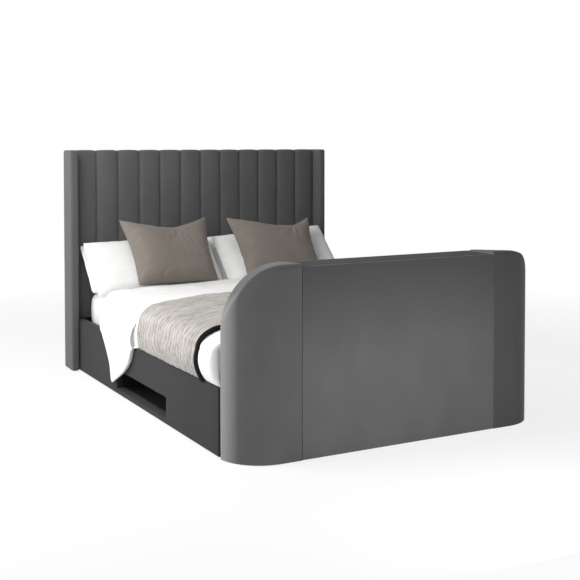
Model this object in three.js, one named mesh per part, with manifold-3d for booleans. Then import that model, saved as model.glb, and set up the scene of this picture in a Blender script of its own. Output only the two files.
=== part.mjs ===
// An upholstered king-size bed whose footboard is a pod that hides a television on a lift.
// Millimetres, +Z up. X runs across the bed, Y from the foot end to the headboard.
// The origin is on the floor, in the middle of the bed's length and width.
import * as THREE from 'three';
import { mergeVertices } from 'three/addons/utils/BufferGeometryUtils.js';
import Module from 'manifold-3d';

const wasm = await Module();
wasm.setup();

// Mattress and the room around it
const mattressWidth = 1500;
const mattressLength = 2000;
const mattressThickness = 255;
const mattressEdge = 34;
const mattressSideGap = 22;
const mattressFootGap = 25;
const mattressHeadGap = 38;

// Clearances
const seatGap = 0.3;
const slideGap = 0.6;
const jointGap = 1.2;
const lidGap = 2;
const softGap = 0.4;
const overrun = 20;
const mergeDistance = 0.001;

// A soft board's corner radius over the radius of its rim
const cornerShare = 1.5;

// Floor glides
const glideHeight = 3;
const glideRadius = 13;
const glideInset = 90;

// Side rails, with the media recess in the left one
const railThickness = 48;
const railLip = 95;
const railEdge = 9;
const recessLength = 720;
const recessHeight = 100;
const recessSill = 35;
const recessFromFoot = 820;
const recessCorner = 6;
const shelfWall = 15;
const shelfDepth = 300;
const shelfHeadroom = 22;

// Slatted base
const ledgerHeight = 40;
const ledgerThickness = 25;
const slatCount = 11;
const slatWidth = 95;
const slatThickness = 18;
const centreRailWidth = 40;
const centreRailHeight = 70;
const centreLegWidth = 40;
const centreLegCount = 2;
const bracketLeg = 42;
const bracketThickness = 4;
const bracketHeight = 95;
const bracketAboveFloor = 60;

// Headboard
const headboardHeight = 1320;
const wingThickness = 48;
const wingProjection = 78;
const wingEdge = 10;
const wingClearance = 2;
const fluteCount = 12;
const fluteDepth = 20;
const fluteRoundness = 2.6;
const padBase = 25;
const padTopRadius = 16;
const scallopDrop = 7;
const boardThickness = 18;
const boardTopDrop = 22;
const strutThickness = 22;
const strutWidth = 70;
const strutFromWing = 262;
const coverThickness = 2;

// Footboard pod
const footboardHeight = 842;
const footboardDepth = 205;
const endRounding = 200;
const frontCornerRadius = 200;
const backCornerRadius = 292;
const endRise = 9;
const endEdge = 24;
const endEdgeSteps = 3;
const endCornerSteps = 8;
const panelThickness = 22;
const panelEdge = 6;
const lidDrop = 5;
const lidThickness = 22;
const lidEdge = 5;
const baseBoardThickness = 18;

// Television
const tvWidth = 966;
const tvHeight = 564;
const tvSideGap = 37;
const tvHeadroom = 15;
const tvRimThickness = 20;
const tvRimCorner = 6;
const tvBulgeDepth = 30;
const tvBulgeTaper = 40;
const tvBulgeWidthShare = 0.66;
const tvBulgeHeightShare = 0.62;
const tvBulgeDropShare = 0.09;
const tvBezel = 9;
const screenRecess = 3;
const screenThickness = 2.4;

// Television lift
const liftFrontGap = 6;
const columnWidth = 92;
const columnDepth = 48;
const columnWall = 2.5;
const columnCorner = 4;
const basePlateWidth = 260;
const basePlateDepth = 120;
const basePlateThickness = 4;
const headPlateThickness = 4;
const headPlateWidth = 150;
const lidBracketHeight = 60;
const lidBracketWidth = 300;
const lidBracketThickness = 3;
const hangPlateWidth = 300;
const hangPlateHeight = 360;
const armSpacing = 200;
const armWidth = 26;
const armDepth = 13;
const armLength = 300;
const motorRadius = 21;
const motorLength = 110;
const gearboxWidth = 62;
const gearboxHeight = 58;
const motorOffset = 6;
const controlWidth = 150;
const controlHeight = 42;
const controlDepth = 88;
const controlEdge = 4;
const controlFromEnd = 40;
const inletWidth = 28;
const inletHeight = 21;
const inletDepth = 14;
const inletCorner = 4;

// Duvet and throw
const duvetThickness = 40;
const duvetFootGap = 8;
const duvetCrown = 30;
const duvetHeadCrown = 14;
const crownFallStartShare = 0.5;
const crownFallEndShare = 0.77;
const duvetWave = 3;
const duvetWaveTurnCount = 9;
const duvetWaveSkewShare = 4;
const duvetHang = 244;
const hemInset = 22;
const hemPinch = 9;
const flapThickness = 24;
const sidePuff = 45;
const puffEndShare = 0.83;
const footPuff = 16;
const footPuffEdge = 12;
const sideBulge = 26;
const throwThickness = 9;
const throwWidth = 815;
const throwFromFootboard = 175;
const throwLoft = 3;
const throwRows = 9;
const topSteps = 4;
const shoulderSteps = 3;
const sideSteps = 3;
const hangSteps = 3;

// Pillows and cushions
const caseRoundness = 0.55;
const pillowOverhang = 60;
const pillowMiddleGap = 5;
const pillowThickness = 92;
const pillowPinch = 8;
const backPillowNarrower = 22;
const backPillowDepth = 362;
const frontPillowDepth = 410;
const leftBackLean = 44;
const rightBackLean = 40;
const rightBackRaise = 50;
const rightFrontRaise = 62;
const frontPillowLean = 46;
const leftCushionWidth = 536;
const rightCushionWidth = 556;
const cushionFlare = 30;
const cushionDepth = 450;
const cushionThickness = 130;
const cushionPinch = 18;
const cushionLean = 36;
const cushionDent = 58;
const leftDentShare = 0.16;
const rightDentShare = 0.5;
const dentRoundness = 1.25;
const leftCushionShift = -30;
const rightCushionShift = 30;
const rightCushionRaise = -18;

// Sizes that follow
const railTop = recessSill + recessHeight + shelfWall + shelfHeadroom + ledgerHeight + railLip;
const ledgerTop = railTop - railLip;
const bedWidth = mattressWidth + 2 * (mattressSideGap + railThickness);
const halfWidth = bedWidth / 2;
const railInner = halfWidth - railThickness;
const wingInner = halfWidth + wingClearance;
const wingOuter = wingInner + wingThickness;
const padDepth = padBase + fluteDepth;
const backDepth = boardThickness + strutThickness + coverThickness;
const wingDepth = wingProjection + padDepth + backDepth;
const bedLength = footboardDepth + mattressFootGap + mattressLength + mattressHeadGap
  + padDepth + backDepth;
const footFace = -bedLength / 2;
const headBack = bedLength / 2;
const podBack = footFace + footboardDepth;
const throwNear = podBack + throwFromFootboard;
const boardFront = headBack - backDepth;
const padFront = boardFront - padDepth;
const slatTop = ledgerTop + seatGap + slatThickness;
const mattressBottom = slatTop + seatGap;
const mattressTop = mattressBottom + mattressThickness;
const mattressFoot = podBack + mattressFootGap;
const mattressHead = mattressFoot + mattressLength;
const podHalf = tvWidth / 2 + tvSideGap;
const lidTop = footboardHeight - lidDrop;
const lidBottom = lidTop - lidThickness;
const slotFront = footFace + panelThickness;
const slotBack = podBack - panelThickness;
const baseTop = glideHeight + baseBoardThickness;
const columnFront = slotFront + liftFrontGap;
const columnMiddle = columnFront + columnDepth / 2;
const plateTop = baseTop + seatGap + basePlateThickness;
const columnBottom = plateTop + seatGap;
const headPlateTop = lidBottom - seatGap - lidBracketHeight;
const headPlateBottom = headPlateTop - headPlateThickness;
const columnTop = headPlateBottom - seatGap;
const hangPlateFront = columnFront + columnDepth + slideGap;
const hangPlateBack = hangPlateFront + headPlateThickness;
const armFront = hangPlateBack + seatGap;
const tvRear = armFront + armDepth + seatGap;
const tvTop = lidBottom - tvHeadroom;
const tvBottom = tvTop - tvHeight;
const pillowWidth = mattressWidth / 2 + pillowOverhang - pillowMiddleGap;
const pillowFromCentre = (mattressWidth / 2 + pillowOverhang + pillowMiddleGap) / 2;

const bed = new THREE.Group();

// Finishes
const velvet = new THREE.MeshStandardMaterial({ color: 0x58595b, roughness: 0.85, metalness: 0 });
const dustCloth = new THREE.MeshStandardMaterial({ color: 0x2c2c2e, roughness: 0.95, metalness: 0 });
const panelBoard = new THREE.MeshStandardMaterial({ color: 0xb49873, roughness: 0.8, metalness: 0 });
const pine = new THREE.MeshStandardMaterial({ color: 0xcfae7e, roughness: 0.7, metalness: 0 });
const darkLaminate = new THREE.MeshStandardMaterial({ color: 0x2b2b2d, roughness: 0.6, metalness: 0 });
const steel = new THREE.MeshStandardMaterial({ color: 0x8d9094, roughness: 0.4, metalness: 0.9 });
const blackSteel = new THREE.MeshStandardMaterial({ color: 0x26272a, roughness: 0.5, metalness: 0.6 });
const blackPlastic = new THREE.MeshStandardMaterial({ color: 0x1c1c1e, roughness: 0.5, metalness: 0 });
const screenGlass = new THREE.MeshStandardMaterial({ color: 0x0b0c0e, roughness: 0.15, metalness: 0 });
const whiteCotton = new THREE.MeshStandardMaterial({ color: 0xf2f1ee, roughness: 0.9, metalness: 0 });
const greigeQuilt = new THREE.MeshStandardMaterial({ color: 0xb9b3aa, roughness: 0.85, metalness: 0 });
const taupeVelvet = new THREE.MeshStandardMaterial({ color: 0x7c726a, roughness: 0.8, metalness: 0 });

function place(name, geometry, finish) {
  const mesh = new THREE.Mesh(geometry, finish);
  mesh.name = name;
  bed.add(mesh);
  return mesh;
}

// A closed geometry as a solid that can be cut and joined.
function solidOf(geometry) {
  const bare = geometry.index ? geometry.toNonIndexed() : geometry.clone();
  bare.deleteAttribute('normal');
  bare.deleteAttribute('uv');
  const merged = mergeVertices(bare, mergeDistance);
  return new wasm.Manifold(new wasm.Mesh({
    numProp: 3,
    vertProperties: merged.attributes.position.array,
    triVerts: new Uint32Array(merged.index.array),
  }));
}

function geometryOf(solid) {
  const cut = solid.getMesh();
  const geometry = new THREE.BufferGeometry();
  geometry.setAttribute('position', new THREE.BufferAttribute(new Float32Array(cut.vertProperties), 3));
  geometry.setIndex(new THREE.BufferAttribute(new Uint32Array(cut.triVerts), 1));
  return geometry;
}

// A plain board between two corners.
function board(low, high) {
  const size = new THREE.Vector3().subVectors(high, low);
  const middle = new THREE.Vector3().addVectors(low, high).multiplyScalar(0.5);
  return new THREE.BoxGeometry(size.x, size.y, size.z).translate(middle.x, middle.y, middle.z);
}

function corner(x, y, z) {
  return new THREE.Vector3(x, y, z);
}

// A rectangle with round corners, in its own two directions.
function roundedRectangle(left, bottom, right, top, radius) {
  const outline = new THREE.Shape();
  outline.moveTo(left + radius, bottom);
  outline.lineTo(right - radius, bottom);
  outline.absarc(right - radius, bottom + radius, radius, -Math.PI / 2, 0, false);
  outline.lineTo(right, top - radius);
  outline.absarc(right - radius, top - radius, radius, 0, Math.PI / 2, false);
  outline.lineTo(left + radius, top);
  outline.absarc(left + radius, top - radius, radius, Math.PI / 2, Math.PI, false);
  outline.lineTo(left, bottom + radius);
  outline.absarc(left + radius, bottom + radius, radius, Math.PI, 1.5 * Math.PI, false);
  return outline;
}

// A closed line's points, without the ones that the end of an arc repeats.
function distinct(points) {
  return points.filter((point, i) => {
    const before = points[(i + points.length - 1) % points.length];
    return point.distanceTo(before) > mergeDistance;
  });
}

// An outline carried through a thickness, with its two rims rounded over.
function softPlate(outline, thickness, edge, arcSteps = 4, rimSteps = 2) {
  const drawn = outline.extractPoints(arcSteps);
  const shape = new THREE.Shape(distinct(drawn.shape));
  shape.holes = drawn.holes.map((hole) => new THREE.Path(distinct(hole)));
  return new THREE.ExtrudeGeometry(shape, {
    depth: thickness - 2 * edge,
    bevelEnabled: edge > 0,
    bevelThickness: edge,
    bevelSize: edge,
    bevelOffset: -edge,
    bevelSegments: rimSteps,
  }).translate(0, 0, edge);
}

// Plates are drawn flat; these turn the drawing's two directions and its thickness into the bed's.
const acrossX = new THREE.Matrix4().makeBasis(corner(0, 1, 0), corner(0, 0, 1), corner(1, 0, 0));
const acrossY = new THREE.Matrix4().makeBasis(corner(1, 0, 0), corner(0, 0, 1), corner(0, -1, 0));

// Drawn in Y and Z, from x upwards in X.
function plateAlongX(outline, x, thickness, edge, arcSteps, rimSteps) {
  return softPlate(outline, thickness, edge, arcSteps, rimSteps)
    .applyMatrix4(acrossX)
    .translate(x, 0, 0);
}

// Drawn in X and Z, from y upwards in Y.
function plateAlongY(outline, y, thickness, edge, arcSteps, rimSteps) {
  return softPlate(outline, thickness, edge, arcSteps, rimSteps)
    .applyMatrix4(acrossY)
    .translate(0, y + thickness, 0);
}

// Drawn in X and Y, from z upwards in Z.
function plateAlongZ(outline, z, thickness, edge, arcSteps, rimSteps) {
  return softPlate(outline, thickness, edge, arcSteps, rimSteps).translate(0, 0, z);
}

// A body between two grids of points with the same rows and columns, closed round its border.
function gridSolid(upper, lower) {
  const rows = upper.length;
  const columns = upper[0].length;
  const positions = [];
  const index = [];
  for (const grid of [upper, lower]) {
    for (const row of grid) {
      for (const point of row) positions.push(point.x, point.y, point.z);
    }
  }
  const top = (row, column) => row * columns + column;
  const under = (row, column) => (rows + row) * columns + column;
  const quad = (a, b, c, d) => index.push(a, b, c, a, c, d);
  for (let row = 0; row < rows - 1; row += 1) {
    for (let column = 0; column < columns - 1; column += 1) {
      quad(top(row, column), top(row, column + 1), top(row + 1, column + 1), top(row + 1, column));
      quad(
        under(row, column),
        under(row + 1, column),
        under(row + 1, column + 1),
        under(row, column + 1),
      );
    }
    quad(top(row, 0), top(row + 1, 0), under(row + 1, 0), under(row, 0));
    quad(
      top(row, columns - 1),
      under(row, columns - 1),
      under(row + 1, columns - 1),
      top(row + 1, columns - 1),
    );
  }
  for (let column = 0; column < columns - 1; column += 1) {
    quad(top(0, column), under(0, column), under(0, column + 1), top(0, column + 1));
    quad(
      top(rows - 1, column),
      top(rows - 1, column + 1),
      under(rows - 1, column + 1),
      under(rows - 1, column),
    );
  }
  return closed(positions, index);
}

// Merges shared points, drops the triangles that a shared seam flattens, and turns the faces out.
function closed(positions, index) {
  const raw = new THREE.BufferGeometry();
  raw.setAttribute('position', new THREE.Float32BufferAttribute(positions, 3));
  raw.setIndex(index);
  const merged = mergeVertices(raw, mergeDistance);
  const kept = [];
  const order = merged.index.array;
  for (let i = 0; i < order.length; i += 3) {
    const [a, b, c] = [order[i], order[i + 1], order[i + 2]];
    if (a !== b && b !== c && c !== a) kept.push(a, b, c);
  }
  if (signedVolume(merged.attributes.position, kept) < 0) kept.reverse();
  merged.setIndex(kept);
  return merged;
}

function signedVolume(position, index) {
  const [a, b, c] = [corner(0, 0, 0), corner(0, 0, 0), corner(0, 0, 0)];
  let sum = 0;
  for (let i = 0; i < index.length; i += 3) {
    a.fromBufferAttribute(position, index[i]);
    b.fromBufferAttribute(position, index[i + 1]);
    c.fromBufferAttribute(position, index[i + 2]);
    sum += a.dot(b.cross(c)) / 6;
  }
  return sum;
}

// Headboard

// The depth of the padding over one flute, full on its crest and nought in its seams.
function fluteRise(share) {
  return Math.sqrt(Math.max(0, 1 - Math.abs(2 * share - 1) ** fluteRoundness));
}

// The fluted pad: a rolled-over section carried across the flutes, its top dipping at each seam.
function makeFlutedPad() {
  const stepsPerFlute = 6;
  const rollSteps = 3;
  const left = -wingInner + seatGap;
  const width = 2 * (wingInner - seatGap);
  const bottom = railTop + jointGap;
  const front = [];
  const back = [];
  for (let i = 0; i <= fluteCount * stepsPerFlute; i += 1) {
    const x = left + (width * i) / (fluteCount * stepsPerFlute);
    const rise = fluteRise((i % stepsPerFlute) / stepsPerFlute);
    const face = boardFront - seatGap - padBase - fluteDepth * rise;
    const top = headboardHeight - scallopDrop * (1 - rise);
    const section = [corner(x, face, bottom)];
    for (let step = 0; step <= rollSteps; step += 1) {
      const turn = (step / rollSteps) * (Math.PI / 2);
      section.push(corner(
        x,
        face + padTopRadius * (1 - Math.cos(turn)),
        top - padTopRadius * (1 - Math.sin(turn)),
      ));
    }
    front.push(section);
    back.push(section.map((point) => corner(x, boardFront - seatGap, point.z)));
  }
  return gridSolid(front, back);
}

function makeWing(side) {
  const near = side > 0 ? wingInner : -wingOuter;
  const outline = roundedRectangle(
    near,
    headBack - wingDepth,
    near + wingThickness,
    headBack,
    cornerShare * wingEdge,
  );
  return plateAlongZ(outline, glideHeight, headboardHeight - glideHeight, wingEdge, 3, 3);
}

function buildHeadboard() {
  place('headboard_fluted_pad', makeFlutedPad(), velvet);
  place('headboard_wing_left', makeWing(-1), velvet);
  place('headboard_wing_right', makeWing(1), velvet);
  const halfBoard = wingInner - seatGap;
  place('headboard_board', board(
    corner(-halfBoard, boardFront, glideHeight),
    corner(halfBoard, boardFront + boardThickness, headboardHeight - boardTopDrop),
  ), panelBoard);
  const strutFront = boardFront + boardThickness + seatGap;
  const coverFront = headBack - coverThickness;
  for (const [name, side] of [['left', -1], ['right', 1]]) {
    const middle = side * (wingInner - strutFromWing);
    place(`headboard_strut_${name}`, board(
      corner(middle - strutWidth / 2, strutFront, glideHeight),
      corner(middle + strutWidth / 2, coverFront - seatGap, headboardHeight - boardTopDrop),
    ), pine);
  }
  place('headboard_back_cover', board(
    corner(-halfBoard, coverFront, glideHeight),
    corner(halfBoard, headBack, headboardHeight - boardTopDrop),
  ), dustCloth);
}

// Side rails and the slatted base

function railOutline() {
  return roundedRectangle(
    podBack + seatGap,
    glideHeight,
    boardFront - seatGap,
    railTop,
    cornerShare * railEdge,
  );
}

function recessOutline(grow) {
  const start = footFace + recessFromFoot;
  return roundedRectangle(
    start - grow,
    recessSill - grow,
    start + recessLength + grow,
    recessSill + recessHeight + grow,
    recessCorner + grow,
  );
}

// An open-fronted tray behind the recess, on which media boxes stand.
function makeMediaShelf() {
  const front = -railInner + seatGap;
  const start = footFace + recessFromFoot;
  const outer = board(
    corner(front, start - shelfWall, recessSill - shelfWall),
    corner(
      front + shelfDepth,
      start + recessLength + shelfWall,
      recessSill + recessHeight + shelfWall,
    ),
  );
  const hollow = board(
    corner(front - overrun, start, recessSill),
    corner(front + shelfDepth - shelfWall, start + recessLength, recessSill + recessHeight),
  );
  return geometryOf(solidOf(outer).subtract(solidOf(hollow)));
}

// A steel angle in the corner between a rail and the board that it meets.
function makeRailBracket(side, end) {
  const face = end > 0 ? boardFront - seatGap : podBack + seatGap;
  const wall = side * (railInner - seatGap);
  const outline = new THREE.Shape();
  outline.moveTo(wall, face);
  outline.lineTo(wall - side * bracketLeg, face);
  outline.lineTo(wall - side * bracketLeg, face - end * bracketThickness);
  outline.lineTo(wall - side * bracketThickness, face - end * bracketThickness);
  outline.lineTo(wall - side * bracketThickness, face - end * bracketLeg);
  outline.lineTo(wall, face - end * bracketLeg);
  return plateAlongZ(outline, bracketAboveFloor, bracketHeight, 0);
}

function buildRails() {
  const leftOutline = railOutline();
  leftOutline.holes.push(recessOutline(0));
  place('side_rail_left', plateAlongX(leftOutline, -halfWidth, railThickness, railEdge, 3), velvet);
  place('side_rail_right', plateAlongX(railOutline(), railInner, railThickness, railEdge, 3), velvet);
  place('media_shelf', makeMediaShelf(), darkLaminate);
  for (const [sideName, side] of [['left', -1], ['right', 1]]) {
    const wall = side * (railInner - seatGap);
    const inner = wall - side * ledgerThickness;
    place(`ledger_${sideName}`, board(
      corner(Math.min(wall, inner), podBack + seatGap, ledgerTop - ledgerHeight),
      corner(Math.max(wall, inner), boardFront - seatGap, ledgerTop),
    ), pine);
    for (const [endName, end] of [['foot', -1], ['head', 1]]) {
      place(`rail_bracket_${sideName}_${endName}`, makeRailBracket(side, end), steel);
    }
  }
}

function buildSlats() {
  const run = boardFront - podBack;
  const halfSlat = railInner - lidGap;
  for (let i = 0; i < slatCount; i += 1) {
    const middle = podBack + (run * (i + 0.5)) / slatCount;
    place(`slat_${String(i + 1).padStart(2, '0')}`, board(
      corner(-halfSlat, middle - slatWidth / 2, ledgerTop + seatGap),
      corner(halfSlat, middle + slatWidth / 2, slatTop),
    ), pine);
  }
  const railBottom = ledgerTop - centreRailHeight;
  place('centre_rail', board(
    corner(-centreRailWidth / 2, podBack + seatGap, railBottom),
    corner(centreRailWidth / 2, boardFront - seatGap, ledgerTop),
  ), pine);
  for (let i = 0; i < centreLegCount; i += 1) {
    const middle = podBack + (run * (i + 1)) / (centreLegCount + 1);
    place(`centre_leg_${i + 1}`, board(
      corner(-centreLegWidth / 2, middle - centreLegWidth / 2, 0),
      corner(centreLegWidth / 2, middle + centreLegWidth / 2, railBottom - seatGap),
    ), pine);
  }
}

// Footboard pod

// The outline of a pod end at one distance from the front, drawn in from its widest by the inset.
// Its top corner grows wider and its top a little lower towards the back.
function podEndOutline(inner, y, inset) {
  const share = (y - footFace) / footboardDepth;
  const radius = THREE.MathUtils.lerp(frontCornerRadius, backCornerRadius, share);
  const top = footboardHeight + endRise * (1 - share);
  const outline = [corner(inner, y, top - inset)];
  for (let step = 0; step <= endCornerSteps; step += 1) {
    const turn = (step / endCornerSteps) * (Math.PI / 2);
    outline.push(corner(
      halfWidth - radius + (radius - inset) * Math.sin(turn),
      y,
      top - radius + (radius - inset) * Math.cos(turn),
    ));
  }
  outline.push(corner(halfWidth - inset, y, glideHeight));
  return outline;
}

// One end of the pod: outlines carried from front to back with both rims rolled over, met by a plan
// whose outer front corner is rounded through nearly the whole depth.
function makePodEnd(side) {
  const seam = podHalf + jointGap / 2;
  const inner = Math.min(seam, halfWidth - backCornerRadius) - 2 * overrun;
  const stations = [];
  for (let step = 0; step <= endEdgeSteps; step += 1) {
    const turn = (step / endEdgeSteps) * (Math.PI / 2);
    const inset = endEdge * (1 - Math.sin(turn));
    const inward = endEdge * (1 - Math.cos(turn));
    stations.push([footFace + inward, inset], [podBack - inward, inset]);
  }
  stations.sort((first, second) => first[0] - second[0]);
  const surface = stations.map(([y, inset]) => podEndOutline(inner, y, inset));
  const ground = surface.map((outline) => (
    outline.map((point) => corner(point.x, point.y, glideHeight))
  ));
  const rounding = halfWidth - endRounding;
  const back = Math.max(podBack, footFace + endRounding) + overrun;
  const plan = new THREE.Shape();
  plan.moveTo(Math.min(inner, rounding) - overrun, footFace - overrun);
  plan.lineTo(rounding, footFace - overrun);
  plan.lineTo(rounding, footFace);
  plan.absarc(rounding, footFace + endRounding, endRounding, -Math.PI / 2, 0, false);
  plan.lineTo(halfWidth + overrun, footFace + endRounding);
  plan.lineTo(halfWidth + overrun, back);
  plan.lineTo(Math.min(inner, rounding) - overrun, back);
  const height = footboardHeight + endRise + 2 * overrun;
  const tower = solidOf(plateAlongZ(plan, -overrun, height, 0, 8));
  const outside = solidOf(board(
    corner(seam, footFace - 2 * overrun, -overrun),
    corner(halfWidth + 2 * overrun, back + overrun, height),
  ));
  const met = geometryOf(solidOf(gridSolid(surface, ground)).intersect(tower).intersect(outside));
  return side > 0 ? met : mirrored(met);
}

// The same piece for the other side of the bed.
function mirrored(geometry) {
  const flipped = geometry.clone().scale(-1, 1, 1);
  flipped.setIndex(Array.from(flipped.index.array).reverse());
  return flipped;
}

// An upright panel between the pod's ends, its top edge rolled over on both sides.
function makePodPanel(front) {
  const outline = new THREE.Shape();
  outline.moveTo(front, glideHeight);
  outline.lineTo(front + panelThickness, glideHeight);
  outline.lineTo(front + panelThickness, lidTop - panelEdge);
  outline.absarc(
    front + panelThickness - panelEdge,
    lidTop - panelEdge,
    panelEdge,
    0,
    Math.PI / 2,
    false,
  );
  outline.lineTo(front + panelEdge, lidTop);
  outline.absarc(front + panelEdge, lidTop - panelEdge, panelEdge, Math.PI / 2, Math.PI, false);
  const halfPanel = podHalf - seatGap;
  return plateAlongX(outline, -halfPanel, 2 * halfPanel, 0, 4);
}

function buildPod() {
  place('pod_end_left', makePodEnd(-1), velvet);
  place('pod_end_right', makePodEnd(1), velvet);
  place('pod_front_panel', makePodPanel(footFace), velvet);
  place('pod_back_panel', makePodPanel(slotBack), velvet);
  place('pod_base_board', board(
    corner(-podHalf + seatGap, slotFront + seatGap, glideHeight),
    corner(podHalf - seatGap, slotBack - seatGap, baseTop),
  ), panelBoard);
  const lidOutline = roundedRectangle(
    -podHalf + lidGap,
    slotFront + lidGap,
    podHalf - lidGap,
    slotBack - lidGap,
    cornerShare * lidEdge,
  );
  place('pod_lid', plateAlongZ(lidOutline, lidBottom, lidThickness, lidEdge, 2), velvet);
}

// Television lift

// One stage of the telescopic column: a square tube, each fitting inside the last.
function makeStage(inset, bottom, top) {
  const halfWide = columnWidth / 2 - inset;
  const halfDeep = columnDepth / 2 - inset;
  const outline = roundedRectangle(
    -halfWide,
    columnMiddle - halfDeep,
    halfWide,
    columnMiddle + halfDeep,
    columnCorner,
  );
  outline.holes.push(roundedRectangle(
    -halfWide + columnWall,
    columnMiddle - halfDeep + columnWall,
    halfWide - columnWall,
    columnMiddle + halfDeep - columnWall,
    columnCorner - columnWall / 2,
  ));
  return plateAlongZ(outline, bottom, top - bottom, 0, 2);
}

// The fixed stage, welded to the plate that is screwed to the pod's base board.
function makeOuterColumn(top) {
  const plate = board(
    corner(-basePlateWidth / 2, slotFront + seatGap, baseTop + seatGap),
    corner(basePlateWidth / 2, slotFront + seatGap + basePlateDepth, plateTop),
  );
  const tube = makeStage(0, plateTop - basePlateThickness / 2, top);
  return geometryOf(solidOf(plate).add(solidOf(tube)));
}

// A gearbox on the base plate with its motor lying beside the column.
function makeMotor() {
  const near = columnWidth / 2 + motorOffset;
  const gearbox = board(
    corner(near, columnMiddle - columnDepth / 2, columnBottom),
    corner(near + gearboxWidth, columnMiddle + columnDepth / 2, columnBottom + gearboxHeight),
  );
  const barrel = new THREE.CylinderGeometry(motorRadius, motorRadius, motorLength + motorRadius, 24)
    .rotateZ(Math.PI / 2)
    .translate(
      near + gearboxWidth + (motorLength - motorRadius) / 2,
      columnMiddle,
      columnBottom + gearboxHeight / 2,
    );
  return geometryOf(solidOf(gearbox).add(solidOf(barrel)));
}

// The control box, with the recess of its mains inlet in the end away from the column.
function makeControlBox() {
  const left = -podHalf + controlFromEnd;
  const bottom = baseTop + seatGap;
  const outline = roundedRectangle(
    left,
    slotFront + liftFrontGap,
    left + controlWidth,
    slotFront + liftFrontGap + controlDepth,
    cornerShare * controlEdge,
  );
  const body = plateAlongZ(outline, bottom, controlHeight, controlEdge, 2);
  const inlet = inletOutline();
  const pocket = plateAlongX(inlet, left - overrun, overrun + inletDepth, 0, 2);
  return geometryOf(solidOf(body).subtract(solidOf(pocket)));
}

function inletOutline() {
  const middle = slotFront + liftFrontGap + controlDepth / 2;
  const height = baseTop + seatGap + controlHeight / 2;
  return roundedRectangle(
    middle - inletWidth / 2,
    height - inletHeight / 2,
    middle + inletWidth / 2,
    height + inletHeight / 2,
    inletCorner,
  );
}

// The head bracket: a cap on the inner stage with a plate hanging down in front of the column.
function makeHeadBracket() {
  const cap = board(
    corner(-headPlateWidth / 2, columnFront, headPlateBottom),
    corner(headPlateWidth / 2, hangPlateBack, headPlateTop),
  );
  const plateTopZ = headPlateTop;
  const outline = roundedRectangle(
    -hangPlateWidth / 2,
    plateTopZ - hangPlateHeight,
    hangPlateWidth / 2,
    plateTopZ,
    columnCorner,
  );
  const plate = plateAlongY(outline, hangPlateFront, headPlateThickness, 0, 2);
  return geometryOf(solidOf(cap).add(solidOf(plate)));
}

// A channel that stands on the head bracket and carries the lid.
function makeLidBracket() {
  const bottom = headPlateTop + seatGap;
  const top = lidBottom - seatGap;
  const front = columnFront;
  const back = columnFront + columnDepth;
  const outline = new THREE.Shape();
  outline.moveTo(back, bottom);
  outline.lineTo(back, bottom + lidBracketThickness);
  outline.lineTo(front + lidBracketThickness, bottom + lidBracketThickness);
  outline.lineTo(front + lidBracketThickness, top - lidBracketThickness);
  outline.lineTo(back, top - lidBracketThickness);
  outline.lineTo(back, top);
  outline.lineTo(front, top);
  outline.lineTo(front, bottom);
  return plateAlongX(outline, -lidBracketWidth / 2, lidBracketWidth, 0);
}

// The television's back shell: a thin rim with a tapered swell behind it and the screen's rebate.
function makeTvShell() {
  const swellFront = tvRear;
  const rimFront = tvRear + tvBulgeDepth;
  const rim = plateAlongY(
    roundedRectangle(-tvWidth / 2, tvBottom, tvWidth / 2, tvTop, tvRimCorner),
    rimFront,
    tvRimThickness,
    0,
    2,
  );
  const middle = (tvBottom + tvTop) / 2 - tvBulgeDropShare * tvHeight;
  const swell = [];
  for (const [y, taper] of [[swellFront, 0], [rimFront + screenRecess, tvBulgeTaper]]) {
    const halfWide = (tvBulgeWidthShare * tvWidth) / 2 + taper;
    const halfHigh = (tvBulgeHeightShare * tvHeight) / 2 + taper;
    swell.push([
      [corner(-halfWide, y, middle - halfHigh), corner(halfWide, y, middle - halfHigh)],
      [corner(-halfWide, y, middle + halfHigh), corner(halfWide, y, middle + halfHigh)],
    ]);
  }
  const rebate = plateAlongY(
    roundedRectangle(
      -tvWidth / 2 + tvBezel,
      tvBottom + tvBezel,
      tvWidth / 2 - tvBezel,
      tvTop - tvBezel,
      tvRimCorner,
    ),
    rimFront + tvRimThickness - screenRecess,
    overrun,
    0,
    2,
  );
  const shell = solidOf(rim).add(solidOf(gridSolid(swell[1], swell[0])));
  return geometryOf(shell.subtract(solidOf(rebate)));
}

function makeScreen() {
  const front = tvRear + tvBulgeDepth + tvRimThickness - screenRecess + seatGap;
  const outline = roundedRectangle(
    -tvWidth / 2 + tvBezel + seatGap,
    tvBottom + tvBezel + seatGap,
    tvWidth / 2 - tvBezel - seatGap,
    tvTop - tvBezel - seatGap,
    tvRimCorner,
  );
  return plateAlongY(outline, front, screenThickness, 0, 2);
}

function buildLift() {
  const nested = columnWall + slideGap;
  place('lift_outer_column', makeOuterColumn(columnTop - 2 * nested), blackSteel);
  place('lift_middle_column', makeStage(nested, columnBottom, columnTop - nested), steel);
  place('lift_inner_column', makeStage(2 * nested, columnBottom, columnTop), steel);
  place('lift_motor', makeMotor(), blackPlastic);
  place('control_box', makeControlBox(), blackPlastic);
  place('tv_head_bracket', makeHeadBracket(), blackSteel);
  place('lid_bracket', makeLidBracket(), blackSteel);
  const armTop = headPlateTop - columnWidth / 2;
  for (const [name, side] of [['left', -1], ['right', 1]]) {
    const middle = (side * armSpacing) / 2;
    place(`tv_arm_${name}`, board(
      corner(middle - armWidth / 2, armFront, armTop - armLength),
      corner(middle + armWidth / 2, armFront + armDepth, armTop),
    ), blackSteel);
  }
  place('tv_back_shell', makeTvShell(), blackPlastic);
  place('tv_screen', makeScreen(), screenGlass);
}

// Bedding

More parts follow.
